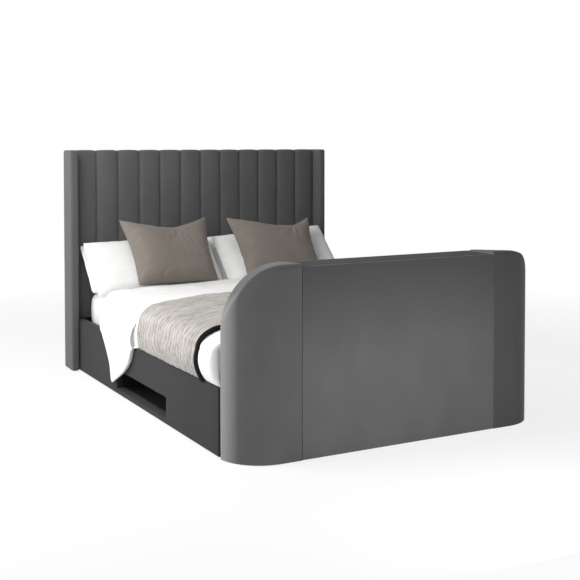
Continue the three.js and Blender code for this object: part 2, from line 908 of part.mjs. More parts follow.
// Half of a cloth's section, from the middle of the bed to its hem: over the mattress, round its
// shoulder, down its side to the rail, and for a row that hangs over, straight down outside it.
// Grow moves the line outwards, less at the hem, where the cloth is pinched thin, and puff is how
// much further out than that its side stands.
function halfSection(grow, hemGrow, puff, row) {
  const centre = new THREE.Vector2(mattressWidth / 2 - mattressEdge, mattressTop - mattressEdge);
  const radius = (mattressEdge + grow) / Math.cos(Math.PI / (4 * shoulderSteps));
  const points = new THREE.LineCurve(
    new THREE.Vector2(0, mattressTop + grow),
    new THREE.Vector2(centre.x, mattressTop + grow),
  ).getPoints(topSteps);
  for (let step = 1; step <= shoulderSteps; step += 1) {
    const turn = (step / shoulderSteps) * (Math.PI / 2);
    points.push(new THREE.Vector2(
      centre.x + (radius + puff) * Math.sin(turn),
      centre.y + radius * Math.cos(turn),
    ));
  }
  const shoulder = points[points.length - 1];
  const resting = halfWidth - hemInset + hemGrow;
  const outside = halfWidth + seatGap + hemGrow;
  const edge = new THREE.Vector2(
    THREE.MathUtils.lerp(resting, outside, row.reach),
    railTop + seatGap,
  ).lerp(shoulder, row.lift);
  const bulge = new THREE.Vector2(
    Math.max(shoulder.x, edge.x) + sideBulge * (1 - row.lift),
    (shoulder.y + edge.y) / 2,
  );
  const side = new THREE.QuadraticBezierCurve(shoulder, bulge, edge).getPoints(sideSteps);
  points.push(...side.slice(1));
  for (let step = 1; step <= hangSteps; step += 1) {
    points.push(new THREE.Vector2(edge.x, edge.y - (row.drop * duvetHang * step) / hangSteps));
  }
  return points;
}

// A cloth laid across the bed, from its left hem to its right one, in rows along the bed.
function layCloth({
  near,
  far,
  under,
  hemUnder,
  thickness,
  hemThickness,
  puff,
  rows,
  swell,
  swellUnder,
}) {
  const upper = [];
  const lower = [];
  const plain = { reach: 0, drop: 0, lift: 0 };
  for (const row of rows) {
    const y = near + (far - near) * row.place;
    const left = [under, under + thickness].map((grow, i) => (
      halfSection(grow, hemUnder + i * (row.reach ? flapThickness : hemThickness), puff(y)[i], row)
    ));
    const right = [under, under + thickness].map((grow, i) => (
      halfSection(grow, hemUnder + i * hemThickness, puff(y)[i], { ...plain, lift: row.lift })
    ));
    const across = (halves) => [
      ...halves[0].slice(1).reverse().map((point) => corner(-point.x, y, point.y)),
      ...halves[1].map((point) => corner(point.x, y, point.y)),
    ];
    const raised = (points, rise) => points.map((point) => point.setZ(point.z + rise(point.x, y)));
    lower.push(raised(across([left[0], right[0]]), swellUnder));
    upper.push(raised(across([left[1], right[1]]), swell));
  }
  return gridSolid(upper, lower);
}

// How far the duvet's upper face stands above its even thickness: a crown with soft waves that is
// lower where the pillows lie.
function duvetSwell(x, y) {
  const share = Math.min(1, Math.abs(x) / (mattressWidth / 2 - mattressEdge));
  const along = (y - podBack) / mattressLength;
  const turn = duvetWaveTurnCount * along + duvetWaveSkewShare * share * Math.sign(x);
  const fall = THREE.MathUtils.smoothstep(along, crownFallStartShare, crownFallEndShare);
  const crown = THREE.MathUtils.lerp(duvetCrown, duvetHeadCrown, fall);
  return (1 - share ** 4) * (crown + duvetWave * Math.sin(turn));
}

// How far the filling makes the duvet's side stand out, less and less towards the head.
function puffAt(y) {
  return sidePuff * Math.max(0, 1 - (y - podBack) / (puffEndShare * mattressLength));
}

// How far the sides of the duvet's two faces stand out: the upper one's more where no throw lies
// on it, between the throw and the footboard.
function duvetPuff(y) {
  return [0, puffAt(y) + (y < throwNear - footPuffEdge / 2 ? footPuff : 0)];
}

// The duvet's rows from under the throw to the head: place along it, how far its left edge reaches
// over the rail, how far its corner drops below the rail's top, and how far its side is drawn up to
// the mattress at the head end.
const duvetRowShares = [
  [0.18, 0, 0, 0],
  [0.27, 0, 0, 0],
  [0.36, 0, 0, 0],
  [0.45, 0, 0, 0],
  [0.53, 0, 0, 0],
  [0.607, 0, 0, 0],
  [0.625, 1, 0, 0],
  [0.64, 1, 0.1, 0],
  [0.66, 1, 0.36, 0],
  [0.69, 1, 0.54, 0],
  [0.72, 1, 0.67, 0],
  [0.76, 1, 0.8, 0],
  [0.795, 1, 0.92, 0],
  [0.825, 1, 1, 0],
  [0.846, 1, 0.62, 0],
  [0.87, 1, 0.42, 0],
  [0.9, 1, 0.2, 0],
  [0.93, 1, 0, 0],
  [0.96, 0, 0, 0.3],
  [1, 0, 0, 0.85],
];

// The duvet, whose first rows leave off just before the throw, so that it stands out more there.
function makeDuvet(far) {
  const near = podBack + duvetFootGap;
  const footRows = [near, throwNear - footPuffEdge, throwNear - softGap].map((y) => (
    [(y - near) / (far - near), 0, 0, 0]
  ));
  return layCloth({
    near,
    far,
    under: seatGap,
    hemUnder: 0,
    thickness: duvetThickness,
    hemThickness: hemPinch,
    puff: duvetPuff,
    rows: [...footRows, ...duvetRowShares].map(([place, reach, drop, lift]) => (
      { place, reach, drop, lift }
    )),
    swell: duvetSwell,
    swellUnder: () => 0,
  });
}

function makeThrow() {
  const rows = [];
  for (let i = 0; i <= throwRows; i += 1) {
    rows.push({ place: i / throwRows, reach: 0, drop: 0, lift: 0 });
  }
  return layCloth({
    near: throwNear,
    far: throwNear + throwWidth,
    under: seatGap + duvetThickness + throwLoft,
    hemUnder: hemPinch + softGap,
    thickness: throwThickness,
    hemThickness: throwThickness,
    puff: (y) => [puffAt(y), puffAt(y)],
    rows,
    swell: duvetSwell,
    swellUnder: duvetSwell,
  });
}

// A filled case: two crowned faces that meet in a seam, whose sides and top draw in between the
// corners and whose bottom is straight, because it stands on it. It widens upwards by the flare,
// its right top corner is raised, and its top edge sinks in by the dent at a share of its width.
function makeCase(sizes) {
  const { width, depth, thickness, pinch, flare, raise, dent, dentShare, columns, rows } = sizes;
  const front = [];
  const back = [];
  for (let row = 0; row <= rows; row += 1) {
    const v = (2 * row) / rows - 1;
    const frontRow = [];
    const backRow = [];
    for (let column = 0; column <= columns; column += 1) {
      const u = (2 * column) / columns - 1;
      const x = u * (width / 2 + (flare / 2) * v - pinch * (1 - v * v) * Math.abs(u));
      const fromDent = Math.abs(u - dentShare) / (1 + Math.sign(dentShare - u) * dentShare);
      const sink = v > 0 ? dent * v * v * (1 - fromDent ** dentRoundness) : 0;
      const drawn = v > 0 ? pinch * v * (1 - u * u) : 0;
      const lift = v > 0 ? (raise * v * (1 + u)) / 2 : 0;
      const z = v * (depth / 2 - drawn) - sink + lift;
      const crown = (thickness / 2) * ((1 - u ** 4) * (1 - v ** 4)) ** caseRoundness;
      frontRow.push(corner(x, -crown, z));
      backRow.push(corner(x, crown, z));
    }
    front.push(frontRow);
    back.push(backRow);
  }
  return gridSolid(front, back);
}

// Leans a case back, stands it on its floor and slides it back until it just clears what is there.
function leanCase(geometry, x, lean, floor, behind) {
  geometry.rotateX(-THREE.MathUtils.degToRad(lean));
  geometry.computeBoundingBox();
  const box = geometry.boundingBox;
  geometry.translate(x, padFront - box.max.y, floor + softGap - box.min.z);
  const walls = behind.map(solidOf);
  const clearAt = (forward) => {
    const moved = solidOf(geometry.clone().translate(0, -forward, 0));
    return walls.every((wall) => moved.intersect(wall).volume() <= 0);
  };
  let clear = 2 * (frontPillowDepth + cushionDepth);
  let blocked = 0;
  for (let step = 0; step < 16; step += 1) {
    const middle = (clear + blocked) / 2;
    if (clearAt(middle)) clear = middle;
    else blocked = middle;
  }
  geometry.translate(0, -clear - softGap, 0);
  geometry.computeBoundingBox();
  return geometry;
}

function makePillow(width, depth, raise, x, lean, behind) {
  const filled = makeCase({
    width,
    depth,
    thickness: pillowThickness,
    pinch: pillowPinch,
    flare: 0,
    raise,
    dent: 0,
    dentShare: 0,
    columns: 12,
    rows: 8,
  });
  return leanCase(filled, x, lean, mattressTop, behind);
}

function makeCushion(width, raise, x, dentShare, behind) {
  const filled = makeCase({
    width,
    depth: cushionDepth,
    thickness: cushionThickness,
    pinch: cushionPinch,
    flare: cushionFlare,
    raise,
    dent: cushionDent,
    dentShare,
    columns: 12,
    rows: 10,
  });
  const floor = mattressTop + duvetThickness + duvetHeadCrown + duvetWave;
  return leanCase(filled, x, cushionLean, floor, behind);
}

function buildBedding() {
  const outline = roundedRectangle(
    -mattressWidth / 2,
    mattressFoot,
    mattressWidth / 2,
    mattressHead,
    cornerShare * mattressEdge,
  );
  const mattress = plateAlongZ(outline, mattressBottom, mattressThickness, mattressEdge, 3, 3);
  place('mattress', mattress, whiteCotton);
  const pad = makeFlutedPad();
  const fronts = [];
  const sides = [
    {
      name: 'left',
      side: -1,
      backLean: leftBackLean,
      backRaise: 0,
      frontRaise: 0,
      cushion: { width: leftCushionWidth, raise: 0, shift: leftCushionShift, dent: leftDentShare },
    },
    {
      name: 'right',
      side: 1,
      backLean: rightBackLean,
      backRaise: rightBackRaise,
      frontRaise: rightFrontRaise,
      cushion: {
        width: rightCushionWidth,
        raise: rightCushionRaise,
        shift: rightCushionShift,
        dent: rightDentShare,
      },
    },
  ];
  for (const { name, side, backLean, backRaise, frontRaise, cushion } of sides) {
    const middle = side * pillowFromCentre;
    const narrower = pillowWidth - backPillowNarrower;
    const back = makePillow(narrower, backPillowDepth, backRaise, middle, backLean, [pad]);
    place(`back_pillow_${name}`, back, whiteCotton);
    const walls = [pad, back];
    const front = makePillow(
      pillowWidth,
      frontPillowDepth,
      frontRaise,
      middle,
      frontPillowLean,
      walls,
    );
    place(`front_pillow_${name}`, front, whiteCotton);
    const across = (side * mattressWidth) / 4 - cushion.shift;
    const taupe = makeCushion(cushion.width, cushion.raise, across, cushion.dent, [back, front]);
    place(`cushion_${name}`, taupe, taupeVelvet);
    fronts.push(front.boundingBox.min.y);
  }
  place('duvet', makeDuvet(Math.min(...fronts) - softGap), whiteCotton);
  place('throw', makeThrow(), greigeQuilt);
}

function buildGlides() {
  const spots = [
    ['headboard_glide_left', -wingInner - wingThickness / 2, headBack - glideInset],
    ['headboard_glide_right', wingInner + wingThickness / 2, headBack - glideInset],
    ['footboard_glide_left', -halfWidth + endRounding, podBack - glideInset],
    ['footboard_glide_right', halfWidth - endRounding, podBack - glideInset],
  ];
  const height = glideHeight - seatGap;
  for (const [name, x, y] of spots) {
    const glide = new THREE.CylinderGeometry(glideRadius, glideRadius, height, 20)
      .rotateX(Math.PI / 2)
      .translate(x, y, height / 2);
    place(name, glide, blackPlastic);
  }
}

buildHeadboard();
buildRails();
buildSlats();
buildPod();
buildLift();
buildBedding();
buildGlides();

export default bed;
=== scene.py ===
"""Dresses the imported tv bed: velvet headboard, rails and pod, its bedding, base and lift.

Lengths are in metres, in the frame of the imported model: X runs across the bed, Y from the foot
end to the headboard and Z up, with the origin on the floor in the middle.
"""
import logging
import math
from collections.abc import Sequence
from dataclasses import dataclass
from enum import Enum

import bmesh
import bpy
import numpy as np
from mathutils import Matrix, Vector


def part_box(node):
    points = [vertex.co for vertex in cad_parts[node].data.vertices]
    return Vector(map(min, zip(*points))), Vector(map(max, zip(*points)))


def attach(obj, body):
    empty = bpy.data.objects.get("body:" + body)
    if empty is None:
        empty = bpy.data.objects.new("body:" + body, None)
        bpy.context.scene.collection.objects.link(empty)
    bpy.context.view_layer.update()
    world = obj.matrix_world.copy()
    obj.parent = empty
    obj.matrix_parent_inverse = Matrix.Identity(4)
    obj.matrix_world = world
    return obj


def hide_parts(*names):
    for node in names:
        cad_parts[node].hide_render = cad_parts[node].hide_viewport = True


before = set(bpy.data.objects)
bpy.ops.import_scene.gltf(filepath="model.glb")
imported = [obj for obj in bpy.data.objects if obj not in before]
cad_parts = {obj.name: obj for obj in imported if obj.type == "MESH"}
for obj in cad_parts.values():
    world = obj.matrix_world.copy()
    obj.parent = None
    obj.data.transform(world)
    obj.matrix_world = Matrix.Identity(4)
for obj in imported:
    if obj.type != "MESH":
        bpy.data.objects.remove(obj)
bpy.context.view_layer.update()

log = logging.getLogger("tv_bed")
BED = "bed"
CARRIAGE = "tv_carriage"
SIDES = ("left", "right")
QUARTER = math.pi / 2
TURN = 2 * math.pi
NOISE_SQUARES = 96
END_INSET = 0.04
WHITE = (1.0, 1.0, 1.0)
PUFF_FRAMES = 20
CASE_CLOTH = {
    "quality": 6,
    "mass": 0.2,
    "tension_stiffness": 12,
    "compression_stiffness": 12,
    "shear_stiffness": 4,
    "bending_stiffness": 0.08,
    "use_pressure": True,
}
Socket = bpy.types.NodeSocket
Material = bpy.types.Material
Piece = bpy.types.Object
Array = np.ndarray
Colour = tuple[float, float, float]
Section = tuple[Array, Array]


class Axis(Enum):
    """The direction in which a grain or a brushed line runs."""

    X = 0
    Y = 1
    Z = 2


class Noise(Enum):
    """Each soft noise of the bedding: the width of one square of its net, and its seed."""

    LONG_CREASE = (0.12, 11)
    SHORT_CREASE = (0.055, 12)
    FOLD_BEND = (0.09, 13)
    RIB_BEND = (0.07, 21)
    RIB_JITTER = (0.032, 22)
    RIB_HEIGHT = (0.045, 23)
    CRINKLE = (0.014, 24)
    ROLL = (0.05, 31)


# ---------------------------------------------------------------- numbers and surfaces


def linear(red: int, green: int, blue: int) -> Colour:
    """Turns a colour as a screen shows it into the linear one that a shader takes.

    Args:
        red, green, blue: The screen's levels, from 0 to 255.

    Returns:
        The linear colour: (level / 255 + 0.055) / 1.055 to the power of 2.4.
    """
    levels = np.array([red, green, blue]) / 255
    return tuple(((levels + 0.055) / 1.055) ** 2.4)


def shaded(colour: Colour, share: float) -> Colour:
    """Returns a colour with each of its three parts multiplied by a share."""
    return tuple(part * share for part in colour)


def corners(node: str) -> tuple[Array, Array]:
    """Returns a CAD node's lowest and highest corners."""
    low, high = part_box(node)
    return np.array(low), np.array(high)


def eased(value: Array, low: float, high: float) -> Array:
    """Returns a smooth step from 0 at the low value to 1 at the high one."""
    share = np.clip((value - low) / (high - low), 0, 1)
    return share * share * (3 - 2 * share)


def soft_noise(across: Array, along: Array, size: float, seed: int) -> Array:
    """Works out smooth noise: random heights on a square net, joined by smooth steps.

    Args:
        across, along: Where the noise is wanted, as arrays of one shape.
        size: The width of one square of the net.
        seed: The number that the heights are drawn from.

    Returns:
        Heights between -1 and 1, each the blend of its square's four heights with
        the weights t * t * (3 - 2 * t).
    """
    heights = np.random.default_rng(seed).uniform(-1, 1, (NOISE_SQUARES, NOISE_SQUARES))
    column = np.floor(across / size).astype(int)
    row = np.floor(along / size).astype(int)
    u = eased(across / size - column, 0, 1)
    v = eased(along / size - row, 0, 1)
    left, right = column % NOISE_SQUARES, (column + 1) % NOISE_SQUARES
    near, far = (
        heights[line, left] * (1 - u) + heights[line, right] * u
        for line in (row % NOISE_SQUARES, (row + 1) % NOISE_SQUARES)
    )
    return near * (1 - v) + far * v


def stacked(x: Array, y: Array, z: Array) -> Array:
    """Joins three arrays of coordinates, of shapes that match, into one of points."""
    return np.stack(np.broadcast_arrays(x, y, z), axis=-1).astype(float)


def joined(left: Section, right: Section) -> Section:
    """Joins a section's two halves from left to right.

    Args:
        left, right: The halves, each as distances and heights from the middle outwards.

    Returns:
        The distances and the heights of the whole section.
    """
    return tuple(
        np.concatenate([one[:, :0:-1], other], axis=1) for one, other in zip(left, right)
    )


def net(
    rows: int, columns: int, round_rows: bool = False, round_columns: bool = False,
) -> Array:
    """Lists the four-sided faces of a grid of points.

    Args:
        rows, columns: The grid's size.
        round_rows: Whether the last row joins the first.
        round_columns: Whether the last column joins the first.

    Returns:
        One row of four point numbers for each face: (r, c), (r, c+1), (r+1, c+1), (r+1, c).
    """
    row = np.arange(rows if round_rows else rows - 1)[:, None]
    column = np.arange(columns if round_columns else columns - 1)[None, :]
    next_row, next_column = (row + 1) % rows, (column + 1) % columns
    return np.stack([
        row * columns + column,
        row * columns + next_column,
        next_row * columns + next_column,
        next_row * columns + column,
    ], axis=-1).reshape(-1, 4)


def read_points(mesh: bpy.types.Mesh) -> Array:
    """Reads a mesh's points.

    Args:
        mesh: The mesh.

    Returns:
        The points, one row each.
    """
    points = np.zeros(3 * len(mesh.vertices))
    mesh.vertices.foreach_get("co", points)
    return points.reshape(-1, 3)


def move_points(mesh: bpy.types.Mesh, points: Array) -> None:
    """Moves a mesh's points to new places."""
    mesh.vertices.foreach_set("co", points.ravel())
    mesh.update()


def make_mesh(
    name: str,
    points: Array,
    faces: list,
    sharp: float = 50,
    weld: float = 1e-5,
    heights: Array | None = None,
    uv: Array | None = None,
) -> Piece:
    """Makes a closed piece from its points and faces, with its normals turned outwards.

    Args:
        name: The piece's name.
        points: The points, one row of x, y, z each.
        faces: The faces, as lists of point numbers.
        sharp: The angle in degrees past which an edge is shown sharp.
        weld: Points nearer than this become one.
        heights: A value for each point, kept as the attribute "height".
        uv: A flat place for each point, kept as the UV map "cloth".

    Returns:
        The new object, at the origin.
    """
    mesh = bpy.data.meshes.new(name)
    mesh.from_pydata(points.tolist(), [], faces)
    if heights is not None:
        mesh.attributes.new("height", "FLOAT", "POINT").data.foreach_set("value", heights)
    if uv is not None:
        corner_points = np.zeros(len(mesh.loops), np.int32)
        mesh.loops.foreach_get("vertex_index", corner_points)
        mesh.uv_layers.new(name="cloth").data.foreach_set("uv", uv[corner_points].ravel())
    shaper = bmesh.new()
    shaper.from_mesh(mesh)
    bmesh.ops.remove_doubles(shaper, verts=shaper.verts, dist=weld)
    bmesh.ops.recalc_face_normals(shaper, faces=shaper.faces)
    shaper.to_mesh(mesh)
    shaper.free()
    mesh.shade_smooth()
    mesh.set_sharp_from_angle(angle=math.radians(sharp))
    piece = bpy.data.objects.new(name, mesh)
    bpy.context.scene.collection.objects.link(piece)
    return piece


def shell(
    name: str,
    front: Array,
    back: Array,
    sharp: float = 50,
    heights: Array | None = None,
    uv: Array | None = None,
) -> Piece:
    """Closes two grids of points, one behind the other, into one piece.

    Each row of the front, followed by the same row of the back in reverse, is a ring. The
    rings are joined one after another, and the first and last are closed across.

    Args:
        name: The piece's name.
        front, back: Two grids of one size, as arrays of rows, columns and coordinates.
        sharp: The angle in degrees past which an edge is shown sharp.
        heights: A value for each point of the grid, the same on front and back.
        uv: A flat place for each point of the grid, the same on front and back.

    Returns:
        The new object.
    """
    rows, columns = front.shape[:2]
    rings = np.concatenate([front, back[:, ::-1]], axis=1)
    near = np.arange(columns - 1)
    far = 2 * columns - 1 - near
    lid = np.stack([near, near + 1, far - 1, far], axis=-1)
    walls = net(rows, 2 * columns, round_columns=True)
    faces = np.concatenate([walls, lid, lid + (rows - 1) * 2 * columns])
    if heights is not None:
        heights = np.concatenate([heights, heights[:, ::-1]], axis=1).ravel()
    if uv is not None:
        uv = np.concatenate([uv, uv[:, ::-1]], axis=1).reshape(-1, 2)
    return make_mesh(name, rings.reshape(-1, 3), faces.tolist(), sharp, heights=heights, uv=uv)


def tower(name: str, rings: Array, sharp: float = 50) -> Piece:
    """Joins closed rings of points one after another, and closes the two ends.

    Each end is closed by a second ring, 4 in 100 smaller, and one flat face inside it, so that
    the face is lit flat.

    Args:
        name: The piece's name.
        rings: An array of rings, points and coordinates.
        sharp: The angle in degrees past which an edge is shown sharp.

    Returns:
        The new object.
    """
    first, last = (
        ring + END_INSET * (ring.mean(axis=1, keepdims=True) - ring)
        for ring in (rings[:1], rings[-1:])
    )
    rings = np.concatenate([first, rings, last])
    count, size = rings.shape[:2]
    faces = net(count, size, round_columns=True).tolist()
    faces += [list(range(size))[::-1], list(range((count - 1) * size, count * size))]
    return make_mesh(name, rings.reshape(-1, 3), faces, sharp)


def edge_lines(half: float, radius: float, spacing: float, arc: int = 5) -> Array:
    """Spaces lines across one side of a soft box, close together over its round edges.

    Args:
        half: Half of the side's length.
        radius: The radius of its edges.
        spacing: The distance between lines on the flat part.
        arc: The number of lines over one half of an edge.

    Returns:
        Places from -half to half, those over an edge at half - radius + radius * tan(turn).
    """
    flat = half - radius
    edge = flat + radius * np.tan(np.linspace(0, math.pi / 4, arc + 1)[1:])
    middle = np.linspace(-flat, flat, max(3, int(2 * flat / spacing) + 1))
    return np.concatenate([-edge[::-1], middle, edge])


def soft_box(
    name: str,
    low: Array,
    high: Array,
    radius: float,
    crown: float = 0.0,
    ripple: float = 0.0,
    spacing: float = 0.04,
    ripple_size: float = 0.16,
) -> Piece:
    """Makes a board wrapped in cloth over thin padding, with round edges and full faces.

    A point of a plain box is drawn to the nearest point of the box that lies one radius inside
    it, and pushed out from there by the radius. Each face then swells by
    crown * (1 - a^4) * (1 - b^4), with a and b the shares of the way to its edges, and a soft
    noise of the ripple's height runs over it, read at another place for each face.

    Args:
        name: The piece's name.
        low, high: The box's lowest and highest corners, which the piece stays inside.
        radius: The radius of the edges.
        crown: How far the padding swells in the middle of a face.
        ripple: The height of the unevenness.
        spacing: The distance between the lines of the grid.
        ripple_size: The width of the unevenness.

    Returns:
        The new object.
    """
    centre = (low + high) / 2
    half = (high - low) / 2 - crown - ripple
    lines = [edge_lines(size, radius, spacing) for size in half]
    points, faces, count = [], [], 0
    for axis in range(3):
        one, other = [other for other in range(3) if other != axis]
        a, b = np.meshgrid(lines[one], lines[other], indexing="ij")
        full = (1 - (a / half[one]) ** 4) * (1 - (b / half[other]) ** 4)
        for side in (-1, 1):
            patch = np.zeros(a.shape + (3,))
            patch[..., one] = a
            patch[..., other] = b
            patch[..., axis] = side * half[axis]
            inner = np.clip(patch, radius - half, half - radius)
            way = patch - inner
            patch = inner + radius * way / np.linalg.norm(way, axis=-1, keepdims=True)
            rough = soft_noise(a + 7 * axis, b + 3 * side, ripple_size, 5 + axis)
            patch[..., axis] += side * full * (crown + ripple * rough)
            points.append(patch.reshape(-1, 3) + centre)
            faces.append(net(*a.shape) + count)
            count += a.size
    return make_mesh(name, np.concatenate(points), np.concatenate(faces).tolist(), weld=2e-5)


# ---------------------------------------------------------------- finishes


class Desk:
    """Lays out the nodes of one material or of the world."""

    def __init__(self, owner: Material | bpy.types.World) -> None:
        """Clears the nodes of a material or a world.

        Args:
            owner: The material or the world.
        """
        self.owner = owner
        owner.use_nodes = True
        self.tree = owner.node_tree
        self.tree.nodes.clear()

    @classmethod
    def new(cls, name: str) -> "Desk":
        """Returns the desk of a new material."""
        return cls(bpy.data.materials.new(name))

    def feed(self, socket: Socket, value: Socket | Colour | float) -> None:
        """Links another node's output to an input, or sets the input's own value.

        Args:
            socket: The input.
            value: The output, a colour or a number.
        """
        if isinstance(value, Socket):
            self.tree.links.new(value, socket)
        elif isinstance(value, tuple) and socket.type == "RGBA":
            socket.default_value = (*value, 1)
        else:
            socket.default_value = value

    def add(self, kind: str, inputs: dict | None = None, **settings: object) -> bpy.types.Node:
        """Adds a node.

        Args:
            kind: The node's type, without the words ShaderNode.
            inputs: Values, or other nodes' outputs, for its inputs by name or number.
            settings: The node's own settings.

        Returns:
            The new node.
        """
        node = self.tree.nodes.new("ShaderNode" + kind)
        for key, value in settings.items():
            setattr(node, key, value)
        for key, value in (inputs or {}).items():
            self.feed(node.inputs[key], value)
        return node

    def place(self, scale: Sequence[float] = (1, 1, 1), cloth: bool = False) -> Socket:
        """Reads where a point is: on the object, or on its cloth.

        Args:
            scale: How often a pattern repeats in each direction.
            cloth: Whether the cloth's own UV map is read.

        Returns:
            The socket of the scaled place.
        """
        if cloth:
            read = self.add("UVMap", uv_map="cloth").outputs["UV"]
        else:
            read = self.add("TexCoord").outputs["Object"]
        return self.add("Mapping", {"Vector": read, "Scale": scale}).outputs["Vector"]

    def noise(self, place: Socket, scale: float, detail: float = 3, rough: float = 0.6) -> Socket:
        """Adds a noise, and returns the socket of its value."""
        inputs = {"Vector": place, "Scale": scale, "Detail": detail, "Roughness": rough}
        return self.add("TexNoise", inputs).outputs[0]

    def waves(self, place: Socket, scale: float, axis: Axis, twist: float = 0) -> Socket:
        """Adds sine bands across one axis.

        Args:
            place: Where the pattern is read.
            scale: How close together the bands stand.
            axis: The axis that they lie across.
            twist: How much they waver.

        Returns:
            The socket of their value.
        """
        inputs = {"Vector": place, "Scale": scale, "Distortion": twist, "Detail": 2.0}
        node = self.add("TexWave", inputs, wave_type="BANDS", bands_direction=axis.name)
        return node.outputs["Fac"]

    def cells(self, place: Socket, scale: float) -> Socket:
        """Adds a pattern of cells, and returns the socket of the way to each cell's middle."""
        return self.add("TexVoronoi", {"Vector": place, "Scale": scale}).outputs["Distance"]

    def ramp(self, value: Socket, colour: Colour, *stops: tuple[float, float]) -> Socket:
        """Turns a value into shades of one colour.

        Args:
            value: The socket of the value.
            colour: The colour.
            stops: Pairs of a value and the share that multiplies the colour there, in order.

        Returns:
            The socket of the shade.
        """
        node = self.add("ValToRGB", {"Fac": value})
        elements = node.color_ramp.elements
        while len(elements) < len(stops):
            elements.new(0.5)
        for element, (position, share) in zip(elements, stops):
            element.position = position
            element.color = (*shaded(colour, share), 1)
        return node.outputs["Color"]

    def spread(
        self, value: Socket, low: float, high: float, start: float = 0, end: float = 1,
    ) -> Socket:
        """Stretches a value that lies between start and end to lie between low and high.

        Args:
            value: The socket of the value.
            low, high: What it becomes at the start and at the end.
            start, end: Where it starts and ends.

        Returns:
            The socket of the stretched value.
        """
        inputs = {
            "Value": value, "From Min": start, "From Max": end, "To Min": low, "To Max": high,
        }
        return self.add("MapRange", inputs).outputs["Result"]

    def total(self, *values: tuple[Socket, float]) -> Socket:
        """Adds up values, each multiplied by its weight.

        Args:
            values: Pairs of a socket and its weight.

        Returns:
            The socket of the sum.
        """
        result = 0.0
        for value, weight in values:
            inputs = {0: value, 1: weight, 2: result}
            result = self.add("Math", inputs, operation="MULTIPLY_ADD").outputs[0]
        return result

    def part(self, vector: Socket, axis: Axis) -> Socket:
        """Returns the socket of one part of a vector."""
        return self.add("SeparateXYZ", {0: vector}).outputs[axis.name]

    def tinted(self, colour: Socket, other: Socket | Colour, share: Socket | float) -> Socket:
        """Mixes a share of another colour into a colour.

        Args:
            colour: The socket of the colour.
            other: The other colour.
            share: How much of the other is taken, from 0 to 1.

        Returns:
            The socket of the mixed colour.
        """
        node = self.add("Mix", data_type="RGBA")
        inputs = {socket.name: socket for socket in node.inputs if socket.enabled}
        for key, value in (("Factor", share), ("A", colour), ("B", other)):
            self.feed(inputs[key], value)
        return next(socket for socket in node.outputs if socket.enabled)

    def relief(self, height: Socket, depth: float, strength: float = 1) -> Socket:
        """Turns a height into a bump of a depth in metres, and returns its normal."""
        inputs = {"Height": height, "Distance": depth, "Strength": strength}
        return self.add("Bump", inputs).outputs["Normal"]

    def surface(self, **sockets: Socket | Colour | float) -> Material:
        """Ends the material in one shader.

        Args:
            sockets: Values or sockets for the shader's inputs, with _ for a space.

        Returns:
            The finished material.
        """
        inputs = {key.replace("_", " "): value for key, value in sockets.items()}
        shader = self.add("BsdfPrincipled", inputs)
        self.add("OutputMaterial", {"Surface": shader.outputs[0]})
        return self.owner


@dataclass(frozen=True)
class Finish:
    """What every finish has: the name of its material, and its colour."""

    name: str
    colour: Colour


@dataclass(frozen=True)
class Velvet(Finish):
    """Short cut pile, brushed unevenly, that lights up where it is seen edge on.

    Its colour can carry painted light. With a lie, faces that look to the left are painted
    lighter and faces that look to the right darker: painted light from the left and painted
    shade on the right. With a fade, painted shade darkens it upwards.
    """

    sheen: float = 0.42
    glow: float = 0.42
    patches: float = 0.13
    # lie: how much left-looking faces are painted lighter and right-looking faces darker, as
    # painted light and shade
    lie: float = 0.0
    # fade: how much painted shade darkens the colour towards the top
    fade: float = 0.0
    painted_shade_heights: tuple[float, float] = (0.45, 0.82)

    def make(self) -> Material:
        """Lays out the nodes.

        Returns:
            The material.
        """
        desk = Desk.new(self.name)
        brushed = desk.noise(desk.place((3.2, 3.2, 1.1)), 1.6, 4, 0.5)
        hand = desk.noise(desk.place(), 5.5)
        pile = desk.noise(desk.place(), 900, 2, 0.7)
        fine = desk.noise(desk.place((1, 1, 0.35)), 120)
        tone = desk.total((brushed, 0.55), (hand, 0.3), (fine, 0.15))
        dark, light = 1 - self.patches, 1 + self.patches
        colour = desk.ramp(tone, self.colour, (0.32, dark), (0.5, 1), (0.68, light))
        # Painted shade: the colour darkens between the two heights towards the top
        if self.fade:
            upwards = desk.spread(desk.part(desk.place(), Axis.Z), 0, 1, *self.painted_shade_heights)
            colour = desk.tinted(colour, shaded(self.colour, 1 - self.fade), upwards)
        # Painted light and shade: faces that look to the left are lightened, faces that look to
        # the right darkened
        if self.lie:
            faces_x = desk.part(desk.add("TexCoord").outputs["Normal"], Axis.X)
            painted_light_left = desk.spread(faces_x, 1, 0, -1.0, -0.82)
            painted_shade_right = desk.spread(faces_x, 0, 0.75, 0.1, 0.9)
            colour = desk.tinted(colour, shaded(self.colour, 1 + self.lie), painted_light_left)
            colour = desk.tinted(colour, shaded(self.colour, 1 / (1 + self.lie)), painted_shade_right)
        return desk.surface(
            Base_Color=colour,
            Roughness=desk.spread(tone, 0.72, 0.92),
            Sheen_Weight=self.sheen,
            Sheen_Roughness=0.5,
            Sheen_Tint=(self.glow, self.glow, self.glow),
            Specular_IOR_Level=0.1,
            Normal=desk.relief(desk.total((pile, 1.0), (fine, 0.8)), 0.0006, 0.55),
        )


